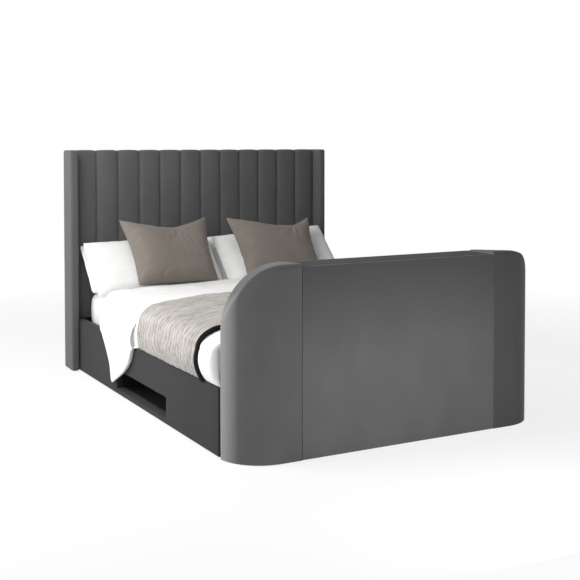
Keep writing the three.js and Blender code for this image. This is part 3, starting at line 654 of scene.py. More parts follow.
@dataclass(frozen=True)
class Cotton(Finish):
    """Plain woven cotton, pressed but lived in."""

    thread: float = 0.0009
    crease: float = 0.0035

    def make(self) -> Material:
        """Lays out the nodes.

        Returns:
            The material.
        """
        desk = Desk.new(self.name)
        place = desk.place()
        bands = TURN / 20 / self.thread
        weave = desk.total(*((desk.waves(place, bands, axis), 0.4) for axis in Axis))
        creases = desk.noise(desk.place((1, 1.6, 1.3)), 11, 4, 0.55)
        rumple = desk.noise(place, 42, 3, 0.5)
        fold = desk.relief(desk.total((creases, 1.0), (rumple, 0.22)), self.crease)
        fibre = desk.add("Bump", {
            "Height": weave, "Distance": 0.0002, "Strength": 0.35, "Normal": fold,
        }).outputs["Normal"]
        return desk.surface(
            # Painted shade: the colour darkens a little in the crease valleys of the bump and
            # lightens on the ridges
            Base_Color=desk.ramp(creases, self.colour, (0.3, 0.955), (0.55, 1), (0.8, 1.02)),
            Roughness=0.88,
            Sheen_Weight=0.12,
            Sheen_Roughness=0.5,
            Specular_IOR_Level=0.2,
            Normal=fibre,
        )


@dataclass(frozen=True)
class Quilt(Finish):
    """A silky crinkled throw, with painted shade between its ribs and painted highlight on them.
    """

    def make(self) -> Material:
        """Lays out the nodes.

        Returns:
            The material.
        """
        desk = Desk.new(self.name)
        height = desk.add("Attribute", attribute_name="height").outputs["Fac"]
        fibre = desk.noise(desk.place((14, 90, 1), cloth=True), 5)
        cloud = desk.noise(desk.place((2, 2, 1), cloth=True), 2.2)
        thread = desk.noise(desk.place(cloth=True), 700, 2)
        tone = desk.total((height, 0.72), (fibre, 0.2), (cloud, 0.12))
        shades = ((0.18, 0.5), (0.45, 0.88), (0.72, 1), (0.95, 1.22))
        return desk.surface(
            # Painted shade and highlight: the rib height darkens the valleys and lightens the
            # crests
            Base_Color=desk.ramp(tone, self.colour, *shades),
            Roughness=desk.spread(tone, 0.62, 0.45),
            Sheen_Weight=0.3,
            Sheen_Roughness=0.35,
            Specular_IOR_Level=0.35,
            Normal=desk.relief(desk.total((fibre, 1.0), (thread, 0.2)), 0.0012, 0.6),
        )


@dataclass(frozen=True)
class Lined(Finish):
    """A finish whose lines run along one axis."""

    along: Axis = Axis.Z

    def scales(self, across: float, along: float) -> Array:
        """Sets a pattern's scales.

        Args:
            across, along: How often it repeats across the lines and along them.

        Returns:
            The three scales.
        """
        scales = np.full(3, across)
        scales[self.along.value] = along
        return scales


@dataclass(frozen=True)
class Timber(Lined):
    """Planed softwood with growth lines along one axis, and a few darker knots."""

    knot_radius: float = 0.09

    def make(self) -> Material:
        """Lays out the nodes.

        Returns:
            The material.
        """
        desk = Desk.new(self.name)
        scales = self.scales(9.0, 0.7)
        across = Axis.Y if self.along is Axis.X else Axis.X
        rings = desk.waves(desk.place(scales), 2.2, across, 5.0)
        pores = desk.noise(desk.place(scales * 16), 3, 4)
        knots = desk.cells(desk.place(scales / 2), 1.3)
        growth = desk.total((rings, 0.7), (pores, 0.3))
        colour = desk.ramp(growth, self.colour, (0.1, 0.68), (0.5, 1), (0.9, 1.12))
        near = desk.add("Math", {0: knots, 1: self.knot_radius}, operation="LESS_THAN")
        dark = desk.spread(near.outputs[0], 0, 0.55)
        return desk.surface(
            Base_Color=desk.tinted(colour, shaded(self.colour, 0.3), dark),
            Roughness=desk.spread(pores, 0.5, 0.72),
            Normal=desk.relief(pores, 0.0004, 0.5),
        )


@dataclass(frozen=True)
class DrawnSteel(Lined):
    """Bare or zinc-plated steel with drawing lines along one axis and a faint cloudiness."""

    def make(self) -> Material:
        """Lays out the nodes.

        Returns:
            The material.
        """
        desk = Desk.new(self.name)
        lines = desk.noise(desk.place(self.scales(260.0, 2.5)), 1)
        cloud = desk.noise(desk.place(), 14, 4)
        tone = desk.total((lines, 0.45), (cloud, 0.55))
        return desk.surface(
            Base_Color=desk.ramp(tone, self.colour, (0.3, 0.8), (0.7, 1.12)),
            Metallic=1.0,
            Roughness=desk.spread(cloud, 0.26, 0.46),
            Normal=desk.relief(lines, 0.0001, 0.3),
        )


@dataclass(frozen=True)
class PressedBoard(Finish):
    """Pressed wood chips: pale flakes of a few millimetres in a darker ground."""

    def make(self) -> Material:
        """Lays out the nodes.

        Returns:
            The material.
        """
        desk = Desk.new(self.name)
        flakes = desk.cells(desk.place((1, 1, 1.8)), 190)
        dust = desk.noise(desk.place(), 420)
        tone = desk.total((flakes, 0.65), (dust, 0.5))
        return desk.surface(
            Base_Color=desk.ramp(tone, self.colour, (0.2, 0.62), (0.5, 1), (0.85, 1.25)),
            Roughness=0.82,
            Normal=desk.relief(tone, 0.0005, 0.6),
        )


@dataclass(frozen=True)
class Laminate(Finish):
    """A dark printed board with a fine open grain along the bed."""

    def make(self) -> Material:
        """Lays out the nodes.

        Returns:
            The material.
        """
        desk = Desk.new(self.name)
        grain = desk.noise(desk.place((60, 3, 60)), 4, 4, 0.65)
        return desk.surface(
            Base_Color=desk.ramp(grain, self.colour, (0.3, 0.7), (0.7, 1.4)),
            Roughness=desk.spread(grain, 0.42, 0.62),
            Normal=desk.relief(grain, 0.0002, 0.4),
        )


@dataclass(frozen=True)
class Grained(Finish):
    """A hard matt surface with a fine grain: powder coat or moulded plastic."""

    grain: float
    roughness: float = 0.5
    metallic: float = 0.0

    def make(self) -> Material:
        """Lays out the nodes.

        Returns:
            The material.
        """
        desk = Desk.new(self.name)
        pebble = desk.noise(desk.place(), 1 / self.grain, 2, 0.5)
        cloud = desk.noise(desk.place(), 9)
        return desk.surface(
            Base_Color=desk.ramp(cloud, self.colour, (0.3, 0.82), (0.7, 1.2)),
            Metallic=self.metallic,
            Roughness=desk.spread(cloud, self.roughness - 0.06, self.roughness + 0.08),
            Normal=desk.relief(pebble, 0.0002, 0.45),
        )


@dataclass(frozen=True)
class ScreenGlass(Finish):
    """A dark television panel behind a thin matt coat."""

    def make(self) -> Material:
        """Lays out the nodes.

        Returns:
            The material.
        """
        desk = Desk.new(self.name)
        wipe = desk.noise(desk.place(), 7, 4)
        dots = desk.noise(desk.place(), 1600, 1, 0.5)
        return desk.surface(
            Base_Color=desk.ramp(wipe, self.colour, (0.3, 0.8), (0.7, 1.25)),
            Roughness=desk.spread(wipe, 0.1, 0.2),
            Coat_Weight=0.4,
            Coat_Roughness=0.12,
            Normal=desk.relief(dots, 0.00003, 0.2),
        )


@dataclass(frozen=True)
class DustCloth(Finish):
    """Thin non-woven cloth, pressed with rows of dots."""

    def make(self) -> Material:
        """Lays out the nodes.

        Returns:
            The material.
        """
        desk = Desk.new(self.name)
        place = desk.place()
        dots = desk.total(*((desk.waves(place, 80, axis), 0.5) for axis in (Axis.X, Axis.Z)))
        tone = desk.total((dots, 0.5), (desk.noise(place, 300, 4, 0.7), 0.5))
        return desk.surface(
            Base_Color=desk.ramp(tone, self.colour, (0.3, 0.7), (0.7, 1.3)),
            Roughness=0.95,
            Normal=desk.relief(tone, 0.0005, 0.6),
        )


class Finishes:
    """Every finish of the bed, made once: one for each slot of the record, then the others.

    It also keeps the CAD nodes that a new piece stands for.
    """

    def __init__(self) -> None:
        """Makes the materials."""
        pine = linear(212, 178, 130)
        dark = linear(47, 47, 47)
        looks = {
            "velvet": Velvet("charcoal_velvet", linear(84, 84, 84)),
            "dust_cloth": DustCloth("black_dust_cloth", linear(44, 44, 46)),
            # The board is coloured very dark: painted shade, so that where it shows in gaps
            # beside the bedding it reads as shadow
            "panel_board": PressedBoard("dark_board_painted_shade", linear(58, 54, 50)),
            "pine": Timber("pine_across", pine, Axis.X),
            # Set near black: partly the laminate's own dark colour, partly painted shade so the
            # recess in the left rail reads black
            "dark_laminate": Laminate("dark_laminate", linear(18, 18, 19)),
            "steel": DrawnSteel("drawn_steel", linear(176, 178, 182)),
            "black_steel": Grained("black_steel", linear(42, 43, 46), 0.0012, metallic=0.4),
            "black_plastic": Grained("black_plastic", linear(32, 32, 34), 0.0008),
            "screen_glass": ScreenGlass("screen_glass", linear(12, 13, 16)),
            "white_cotton": Cotton("white_cotton", linear(233, 233, 232)),
            "greige_quilt": Quilt("greige_quilt", linear(176, 171, 165)),
            "taupe_velvet": Velvet(
                "taupe_velvet", linear(121, 114, 107), sheen=0.3, glow=0.4, patches=0.12,
            ),
            # Left pod end: painted light, lighter on the faces that look to the left
            "left_end": Velvet("charcoal_velvet_left_painted_light", linear(82, 82, 82), lie=1.7),
            # Right pod end: a darker copy of the velvet as painted shade, darker still on faces
            # that look to the right
            "right_end": Velvet("charcoal_velvet_right_painted_shade", linear(69, 69, 69), lie=1.6),
            # Pod panels: painted shade that darkens them towards the top
            "panel": Velvet("charcoal_velvet_panel", linear(86, 86, 86), fade=0.34),
            # A darker copy of the charcoal velvet for the rails and the lid: painted shade
            "painted_shade_velvet": Velvet("charcoal_velvet_painted_shade", dark, sheen=0.2, glow=0.3),
            # Near black for the roll at the throw's foot edge: painted shade for the shadow gap
            # there
            "reverse": Velvet("dark_roll_painted_shade", linear(30, 29, 29), sheen=0.1, glow=0.2),
            "pine_along": Timber("pine_along", pine, Axis.Y),
            "pine_upright": Timber("pine_upright", pine, Axis.Z),
        }
        self.made: dict[str, Material] = {look: it.make() for look, it in looks.items()}
        self.replaced: set[str] = set()

    def dress(
        self,
        piece: Piece,
        slot: str,
        body: str,
        *nodes: str,
        look: str = "",
    ) -> Piece:
        """Gives a new piece its finish and its place among the bodies.

        Args:
            piece: The new piece.
            slot: The record's slot that it is finished from.
            body: The body that it rides on.
            nodes: The CAD nodes that it stands for.
            look: The finish, where it isn't the slot's own.

        Returns:
            The same piece.
        """
        piece.data.materials.clear()
        piece.data.materials.append(self.made[look or slot])
        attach(piece, body)
        if nodes:
            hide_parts(*nodes)
            self.replaced.update(nodes)
        log.info("%s: %d faces, rides on %s", piece.name, len(piece.data.polygons), body)
        return piece

    def dress_node(self, node: str) -> None:
        """Gives a CAD node that stays in view the finish of its slot, and timber its grain.

        Args:
            node: The node's name.
        """
        low, high = corners(node)
        pine = ("pine", "pine_along", "pine_upright")[int(np.argmax(high - low))]
        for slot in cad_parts[node].material_slots:
            name = slot.material.name.split(".")[0]
            slot.material = self.made[pine if name == "pine" else name]
        log.info("%s: keeps its CAD mesh", node)


# ---------------------------------------------------------------- headboard


@dataclass
class Headboard:
    """The fluted pad between its two wings."""

    flutes: int = 12
    flute_points: int = 18
    flute_depth: float = 0.020
    base: float = 0.025
    roundness: float = 2.6
    top_radius: float = 0.016
    scallop: float = 0.007
    pucker: float = 0.0005
    pucker_pitch: float = 0.034
    seam_share: float = 0.16
    unevenness: float = 0.0016
    wing_edge: float = 0.012

    def fluted_pad(self) -> Piece:
        """Makes the padding.

        Over one flute the depth follows (1 - |2s - 1|^2.6)^0.5, with s the share across it,
        and small puckers run along the seams. Each column of points climbs the front, rolls
        over the top on a quarter circle and ends level with the board behind.

        Returns:
            The piece.
        """
        low, high = corners("headboard_fluted_pad")
        step = (1 - np.cos(np.linspace(0, math.pi, self.flute_points + 1)[:-1])) / 2
        share = np.append(np.tile(step, self.flutes), 0.0)
        flute = np.append(np.repeat(np.arange(self.flutes), self.flute_points), self.flutes)
        x = low[0] + (high[0] - low[0]) * (flute + share) / self.flutes
        off_middle = np.abs(2 * share - 1)
        rise = np.sqrt(np.maximum(0, 1 - off_middle**self.roundness))
        top = high[2] - self.scallop * (1 - rise)
        height = np.linspace(0, 1, 110)[:, None]
        turn = np.linspace(0, QUARTER, 8)[1:, None]
        z = np.concatenate([
            low[2] + (top - self.top_radius - low[2]) * height,
            top - self.top_radius * (1 - np.sin(turn)),
        ])
        rolled = np.concatenate([0 * height, self.top_radius * (1 - np.cos(turn))])
        near_seam = np.exp(-((1 - off_middle) / self.seam_share) ** 2)
        phase = 2.4 * np.round(flute + share)
        pucker = self.pucker * near_seam * np.sin(z * TURN / self.pucker_pitch + phase)
        uneven = self.unevenness * rise * soft_noise(x + 0 * z, z, 0.11, 3)
        y = high[1] - self.base - self.flute_depth * rise + rolled + pucker + uneven
        return shell("headboard_flutes", stacked(x, y, z), stacked(x, high[1], z), sharp=70)

    def wing(self, side: str) -> Piece:
        """Makes one wing, a tall narrow board in velvet.

        Args:
            side: The word left or right.

        Returns:
            The piece.
        """
        return soft_box(
            f"wing_{side}", *corners(f"headboard_wing_{side}"), self.wing_edge, crown=0.0012,
            ripple=0.0006, spacing=0.03,
        )

    def build(self, finishes: Finishes) -> None:
        """Makes and dresses the headboard.

        Args:
            finishes: The bed's finishes.
        """
        finishes.dress(self.fluted_pad(), "velvet", BED, "headboard_fluted_pad")
        for side in SIDES:
            finishes.dress(self.wing(side), "velvet", BED, f"headboard_wing_{side}")


# ---------------------------------------------------------------- rails


@dataclass
class Rails:
    """The two side rails, with the long low recess in the left one."""

    edge: float = 0.011
    edge_rest: float = 0.003
    recess_edge: float = 0.007
    recess_corner: float = 0.006
    recess_foot: float = -0.3575
    recess_head: float = 0.3625
    recess_low: float = 0.035
    recess_high: float = 0.135

    @staticmethod
    def loop(low: Array, high: Array, corner: float) -> Array:
        """Walks round a rectangle with round corners.

        Args:
            low, high: Two opposite corners, each of two numbers.
            corner: The radius of its corners.

        Returns:
            The points, 40 along each long side, 14 along each short one and 6 round a corner.
        """
        arcs = []
        for number in range(4):
            turn = -QUARTER + number * QUARTER + np.linspace(0, QUARTER, 6)
            at_high = [number in (0, 1), number in (1, 2)]
            centre = np.where(at_high, high - corner, low + corner)
            arcs.append(centre + corner * np.stack([np.cos(turn), np.sin(turn)], axis=-1))
        walked = []
        for number, (count, arc) in enumerate(zip((40, 14, 40, 14), arcs)):
            before = arcs[number - 1][-1]
            walked += [before + (arc[0] - before) * np.linspace(0, 1, count)[1:-1, None], arc]
        return np.concatenate(walked)

    def left(self) -> Piece:
        """Makes the left rail, a ring of board round its recess.

        A section runs from the recess over the outer face, round the rail's edge, back over the
        inner face and through the recess again. It is carried round both outlines at once: a
        point of the outer face lies part of the way from the recess to the rail's edge.

        Returns:
            The piece.
        """
        low, high = corners("side_rail_left")
        thick = high[0] - low[0]
        hole_low = np.array([self.recess_foot, self.recess_low])
        hole_high = np.array([self.recess_head, self.recess_high])

        def rim(radius: float) -> list[tuple[float, float]]:
            """Walks round both rims of an edge, from the outer face inwards.

            Args:
                radius: The radius of the edge.

            Returns:
                Pairs of a depth and an inset.
            """
            turns = np.linspace(0, QUARTER, 6)
            walk = [(radius * (1 - math.cos(t)), radius * (1 - math.sin(t))) for t in turns]
            return walk + [(thick - depth, inset) for depth, inset in walk[::-1]]

        def outer_loop(inset: float) -> Array:
            """Returns the rail's outline, drawn in by an inset."""
            corner = self.edge - inset + self.edge_rest
            return self.loop(low[1:] + inset, high[1:] - inset, corner)

        def hole_loop(inset: float) -> Array:
            """Returns the recess's outline, pushed out by an inset."""
            return self.loop(hole_low - inset, hole_high + inset, self.recess_corner + inset)

        def ring(depth: float, outline: Array) -> Array:
            """Sets an outline at a depth behind the rail's outer face."""
            return stacked(low[0] + depth, outline[:, 0], outline[:, 1])

        start, end = hole_loop(self.recess_edge), outer_loop(self.edge)
        between = [start + (end - start) * share for share in np.linspace(0, 1, 10)[1:-1]]
        grid = np.stack(
            [ring(0.0, outline) for outline in between]
            + [ring(depth, outer_loop(inset)) for depth, inset in rim(self.edge)]
            + [ring(thick, outline) for outline in between[::-1]]
            + [ring(depth, hole_loop(inset)) for depth, inset in rim(self.recess_edge)[::-1]]
        )
        faces = net(*grid.shape[:2], round_rows=True, round_columns=True)
        return make_mesh("rail_left", grid.reshape(-1, 3), faces.tolist())

    def right(self) -> Piece:
        """Makes the right rail, a plain board in velvet.

        Returns:
            The piece.
        """
        return soft_box(
            "rail_right", *corners("side_rail_right"), self.edge, crown=0.0008, ripple=0.0006,
            spacing=0.05,
        )

    def build(self, finishes: Finishes) -> None:
        """Makes and dresses the rails.

        Args:
            finishes: The bed's finishes.
        """
        for side, make in zip(SIDES, (self.left, self.right)):
            # The rails take the darker copy of the velvet: painted shade
            finishes.dress(make(), "velvet", BED, f"side_rail_{side}", look="painted_shade_velvet")


# ---------------------------------------------------------------- footboard pod


@dataclass
class Pod:
    """The footboard: two doubly rounded ends, two panels and the lid between them."""

    rounding: float = 0.200
    front_corner: float = 0.200
    back_corner: float = 0.292
    rise: float = 0.009
    edge: float = 0.024
    seam_edge: float = 0.0018
    panel_edge: float = 0.002
    lid_edge: float = 0.006
    softening: int = 5

    def end(self, side: str) -> Piece:
        """Makes one end, from outlines set one behind another from front to back.

        At a depth d the top corner's radius and height run evenly from the front's to the
        back's, both rims roll over on quarter circles, and the outline is cut off at
        x = middle + R * sin(turn) with d = R * (1 - cos(turn)), the plan of the rounded front
        corner. An outline climbs the seam, crosses the top, follows the corner's arc and goes
        down the outer wall. The line where the two roundings meet is then softened by
        averaging each point with its neighbours.

        Args:
            side: The word left or right.

        Returns:
            The piece.
        """
        low, high = corners(f"pod_end_{side}")
        seam, outermost = sorted([abs(low[0]), abs(high[0])])
        depth = high[1] - low[1]
        ahead = self.rounding * (1 - np.cos(np.linspace(0, QUARTER, 44)))
        rim = depth - self.edge * (1 - np.cos(np.linspace(0, QUARTER, 12)))
        d = np.unique(np.concatenate([ahead[ahead < depth - self.edge], rim]))[:, None]
        plan = outermost - self.rounding + np.sqrt(
            np.maximum(0, self.rounding**2 - np.maximum(0, self.rounding - d) ** 2)
        )
        near = np.minimum(d, depth - d)
        inset = self.edge - np.sqrt(self.edge**2 - np.maximum(0, self.edge - near) ** 2)
        radius = self.front_corner + (self.back_corner - self.front_corner) * d / depth
        top = high[2] - self.rise * d / depth
        soft = np.maximum(0, self.seam_edge - near)
        inner = seam + self.seam_edge - np.sqrt(np.maximum(0, self.seam_edge**2 - soft**2))
        middle = outermost - radius
        drawn = radius - inset
        reach = np.arcsin(np.clip((plan - middle) / drawn, 0, 1))
        climb, fillet, roof, bend = (
            np.linspace(0, end, count)[None, :]
            for end, count in ((1, 40), (QUARTER, 5), (1, 12), (1, 36))
        )
        roof = roof[:, 1:-1]
        flat_end = np.minimum(np.maximum(middle, inner + self.seam_edge), plan)
        crown = top - inset
        wall_top = np.minimum(top - radius + drawn * np.cos(reach), crown)
        arc_x = np.maximum(middle + drawn * np.sin(reach * bend), flat_end)
        x = np.concatenate([
            inner + 0 * climb,
            inner + self.seam_edge * (1 - np.cos(fillet)),
            inner + self.seam_edge + (flat_end - inner - self.seam_edge) * roof,
            np.minimum(arc_x, plan),
            np.minimum(plan, outermost - inset) + 0 * climb,
        ], axis=1)
        z = np.concatenate([
            low[2] + (crown - self.seam_edge - low[2]) * climb,
            crown - self.seam_edge * (1 - np.sin(fillet)),
            crown + 0 * roof,
            top - radius + drawn * np.cos(reach * bend),
            wall_top + (low[2] - wall_top) * climb,
        ], axis=1)
        first = climb.size + fillet.size
        last = -climb.size // 2
        for _ in range(self.softening):
            for values in (x, z):
                kept = values[1:-1].copy()
                values[1:-1, first:last] = (
                    2 * kept[:, first:last]
                    + kept[:, first - 1:last - 1]
                    + kept[:, first + 1:last + 1]
                ) / 4
        turned = 1 if side == "right" else -1
        return tower(f"end_{side}", stacked(turned * x, low[1] + d, z), sharp=60)

    def panel(self, face: str) -> Piece:
        """Makes the front or the back panel, softly full between its seams.

        Args:
            face: The word front or back.

        Returns:
            The piece.
        """
        low, high = corners(f"pod_{face}_panel")
        return soft_box(f"panel_{face}", low, high, self.panel_edge, ripple=0.0005)

    def lid(self) -> Piece:
        """Makes the lid, which rises with the television.

        Returns:
            The piece.
        """
        return soft_box(
            "lid", *corners("pod_lid"), self.lid_edge, crown=0.0006, ripple=0.0004, spacing=0.03,
        )

    def build(self, finishes: Finishes) -> None:
        """Makes and dresses the pod.

        Args:
            finishes: The bed's finishes.
        """
        for side in SIDES:
            # The ends' finishes paint light on the left end and shade on the right end
            finishes.dress(self.end(side), "velvet", BED, f"pod_end_{side}", look=f"{side}_end")
        for face in ("front", "back"):
            # The panels' finish paints shade towards their top
            finishes.dress(self.panel(face), "velvet", BED, f"pod_{face}_panel", look="panel")
        # The lid takes the darker copy of the velvet: painted shade
        finishes.dress(self.lid(), "velvet", CARRIAGE, "pod_lid", look="painted_shade_velvet")


# ---------------------------------------------------------------- bedding


@dataclass
class Mattress:
    """The mattress in its fitted sheet."""

    edge: float = 0.060
    crown: float = 0.004
    ripple: float = 0.002
    gathers: float = 0.004
    gather_pitch: float = 0.024
    gather_reach: float = 0.22
    side_bulge: float = 0.012

    def build(self, finishes: Finishes) -> None:
        """Makes the mattress: a soft box whose sheet gathers round its corners.

        The sheet's folds stand out by gathers * (sin(2 pi s / 24 mm) - 1), with s the way round
        the side, and fade from the corners and towards the top.

        Args:
            finishes: The bed's finishes.
        """
        low, high = corners("mattress")
        piece = soft_box(
            "mattress_in_sheet", low, high, self.edge, self.crown, self.ripple, spacing=0.02,
        )
        points = read_points(piece.data)
        half = (high - low) / 2
        way = points - (low + high) / 2
        from_corner = np.hypot(half[0] - np.abs(way[:, 0]), half[1] - np.abs(way[:, 1]))
        fading = np.exp(-(from_corner / self.gather_reach) ** 2) * eased(-way[:, 2], -0.12, 0.05)
        out = way[:, :2] / np.linalg.norm(way[:, :2], axis=1, keepdims=True)
        round_way = points[:, 0] - points[:, 1]
        fold = self.gathers * fading * (np.sin(round_way * TURN / self.gather_pitch) - 1)
        points[:, :2] += out * fold[:, None]
        beside = eased(np.abs(way[:, 0]) / half[0], 0.9, 1.0)
        full = 1 - (way[:, 2] / half[2]) ** 2
        points[:, 0] += np.sign(way[:, 0]) * self.side_bulge * beside * full
        move_points(piece.data, points)
        finishes.dress(piece, "white_cotton", BED, "mattress")


@dataclass
class Cloths:
    """The duvet, with one corner hanging over the left rail, and the throw across it.

    A row of the table of rows gives a place along the duvet as a share, how far its left hem
    reaches over the rail, how far it hangs and how far it is drawn up to the mattress. The
    creases' heights are those of the long and the short ones, and what they gain at the foot.
    The numbers of points are those on the top, the shoulder, the side and the hang.
    """

    gap: float = 0.0003
    shoulder: float = 0.034
    duvet_thickness: float = 0.040
    duvet_hem: float = 0.009
    flap_thickness: float = 0.024
    hang: float = 0.244
    side_bulge: float = 0.026
    side_puff: float = 0.045
    puff_end: float = 0.83
    foot_puff: float = 0.016
    hem_inset: float = 0.022
    crown: float = 0.030
    head_crown: float = 0.014
    crown_fall: tuple[float, float] = (0.5, 0.77)
    wave: float = 0.003
    wave_turns: float = 9
    wave_skew: float = 4
    throw_thickness: float = 0.009
    throw_loft: float = 0.003
    rib: float = 0.0034
    rib_pitch: float = 0.036
    rib_bend: float = 0.4
    rib_roundness: float = 0.8
    crinkle: float = 0.0011
    roll_radius: float = 0.011
    roll_uneven: float = 0.12
    groove: float = 0.042
    groove_fall: tuple[float, float] = (-0.46, -0.40)
    flap_from: float = -0.3
    hem_round: float = 0.020
    crease_heights: tuple[tuple[float, float], ...] = ((0.0035, 0.004), (0.0014, 0.0026))
    flap_tip: float = 0.83
    fold_height: float = 0.007
    fold_pitch: float = 0.046
    fold_reach: float = 0.085
    fold_bend: float = 0.012
    hem_gap: float = 0.0004
    throw_clearance: float = 0.004
    throw_hem: float = 0.012
    throw_rows: int = 262
    throw_flat: tuple[float, float] = (2.05, 0.815)
    duvet_points: tuple[int, int, int, int] = (46, 10, 16, 26)
    throw_points: tuple[int, int, int, int] = (44, 10, 17, 1)
    roll_points: tuple[int, int, int, int] = (30, 12, 14, 1)
    row_spacing: tuple[tuple[float, float, int], ...] = (
        (0, 0.02, 10), (0.02, 0.6, 84), (0.6, 0.63, 24), (0.63, 0.95, 84), (0.95, 1, 20),
    )
    rows: tuple[tuple[float, float, float, float], ...] = (
        (0.000, 0, 0.00, 0.00), (0.607, 0, 0.00, 0.00), (0.625, 1, 0.00, 0.00),
        (0.640, 1, 0.10, 0.00), (0.660, 1, 0.36, 0.00), (0.690, 1, 0.54, 0.00),
        (0.720, 1, 0.67, 0.00), (0.760, 1, 0.80, 0.00), (0.795, 1, 0.92, 0.00),
        (0.825, 1, 1.00, 0.00), (0.846, 1, 0.62, 0.00), (0.870, 1, 0.42, 0.00),
        (0.900, 1, 0.20, 0.00), (0.930, 1, 0.00, 0.00), (0.960, 0, 0.00, 0.30),
        (1.000, 0, 0.00, 0.85),
    )

    def __post_init__(self) -> None:
        """Reads what the cloths lie on from the CAD."""
        low, high = corners("mattress")
        self.half_mattress, _, self.mattress_top = high
        self.length = high[1] - low[1]
        rail_low, rail_high = corners("side_rail_left")
        self.half_bed, self.rail_top = -rail_low[0], rail_high[2]
        self.foot = corners("pod_back_panel")[1][1]
        self.throw_foot, self.throw_head = (corner[1] for corner in corners("throw"))

    def swell(self, x: Array, y: Array) -> Array:
        """Works out how far the duvet stands above its even thickness.

        Args:
            x, y: Places over the bed.

        Returns:
            (1 - s^4) * (crown + wave * sin(turn)), with s the share of the way to the edge
            and the crown lower where the pillows lie.
        """
        share = np.minimum(1, np.abs(x) / (self.half_mattress - self.shoulder))
        along = (y - self.foot) / self.length
        turn = self.wave_turns * along + self.wave_skew * share * np.sign(x)
        crown = self.crown + (self.head_crown - self.crown) * eased(along, *self.crown_fall)
        return (1 - share**4) * (crown + self.wave * np.sin(turn))

    def puff_at(self, y: Array) -> Array:
        """Returns how far the filling makes the side stand out: less and less to the head."""
        along = (y - self.foot) / (self.puff_end * self.length)
        return self.side_puff * np.maximum(0, 1 - along)

    def half_section(
        self,
        grow: Array,
        hem_grow: Array,
        puff: Array,
        reach: Array,
        drop: Array,
        lift: Array,
        counts: tuple[int, int, int, int],
    ) -> Section:
        """Carries one half of a cloth's section over the mattress and down to its hem.

        It runs flat to the shoulder, round it on a quarter ellipse, down the side on a curve
        of three points, and then straight down outside the rail by its drop.

        Args:
            grow: How far the line lies outside the mattress, a column of one value a row.
            hem_grow: The same at the hem.
            puff: How much further out than that its side stands.
            reach: How far the hem reaches over the rail, from 0 to 1.
            drop: How far it hangs below the rail's top, as a share of the full hang.
            lift: How far its side is drawn up to the mattress.
            counts: The number of points on the top, the shoulder, the side and the hang.

        Returns:
            The distances from the middle and the heights, one row for each row of the cloth.
        """
        top, bend, side, hanging = (np.linspace(0, 1, count)[None, :] for count in counts)
        centre_x = self.half_mattress - self.shoulder
        centre_z = self.mattress_top - self.shoulder
        radius = self.shoulder + grow
        turn = bend[:, 1:] * QUARTER
        end_x = centre_x + radius + puff
        resting = self.half_bed - self.hem_inset + hem_grow
        outside = self.half_bed + self.gap + hem_grow
        edge_x = resting + (outside - resting) * reach
        edge_z = self.rail_top + self.gap + 0 * reach
        edge_x = edge_x + (end_x - edge_x) * lift
        edge_z = edge_z + (centre_z - edge_z) * lift
        bulge_x = np.maximum(end_x, edge_x) + self.side_bulge * (1 - lift)
        bulge_z = (centre_z + edge_z) / 2
        t = side[:, 1:]
        x = np.concatenate([
            centre_x * top + 0 * grow,
            centre_x + (radius + puff) * np.sin(turn),
            (1 - t) ** 2 * end_x + 2 * t * (1 - t) * bulge_x + t**2 * edge_x,
            edge_x + 0 * hanging[:, 1:],
        ], axis=1)
        z = np.concatenate([
            self.mattress_top + grow + 0 * top,
            centre_z + radius * np.cos(turn),
            (1 - t) ** 2 * centre_z + 2 * t * (1 - t) * bulge_z + t**2 * edge_z,
            edge_z - drop * self.hang * hanging[:, 1:],
        ], axis=1)
        return x, z

    def duvet(self) -> Piece:
        """Makes the duvet: an upper and a lower face from section to section up the bed.

        The thickness falls to nothing at both ends on a half circle. Over the top run creases
        of soft noise, and the hanging corner stands out in folds that widen towards its tip.

        Returns:
            The piece.
        """
        low, high = corners("duvet")
        table = np.array(self.rows)
        place = np.concatenate([
            np.linspace(start, end, count)[min(1, number):]
            for number, (start, end, count) in enumerate(self.row_spacing)
        ])[:, None]
        reach, drop, lift = (
            np.interp(place, table[:, 0], table[:, column]) for column in (1, 2, 3)
        )
        y = low[1] + (high[1] - low[1]) * place
        half = self.duvet_thickness / 2
        rounded = np.clip(np.minimum(y - low[1], high[1] - y) / half, 0, 1)
        fullness = np.sqrt(np.maximum(0.02, 1 - (1 - rounded) ** 2))
        uncovered = self.throw_foot - self.throw_clearance - y
        bare = np.clip(uncovered / (self.throw_foot - low[1]), 0, 1)
        puff = self.puff_at(y) + self.foot_puff * np.sqrt(4 * bare * (1 - bare))
        flap = (self.duvet_hem + (self.flap_thickness - self.duvet_hem) * reach) / 2
        plain = 0 * reach + self.duvet_hem / 2
        faces = []
        for sign in (-1, 1):
            grow = self.gap + half + sign * half * fullness
            bulge = puff * fullness * (sign > 0)
            left, right = (
                self.half_section(
                    grow, hem + sign * hem * fullness, bulge, over, down, lift, self.duvet_points,
                )
                for hem, over, down in ((flap, reach, drop), (plain, 0 * reach, 0 * drop))
            )
            x, z = joined((-left[0], left[1]), right)
            if sign > 0:
                z = z + self.swell(x, y) * fullness
            faces.append(stacked(x, y, z))
        lower, upper = faces
        upper += self.creases(upper, lower, place)
        self.round_flap(upper, lower, reach)
        return shell("duvet_cover", upper, lower, sharp=80)

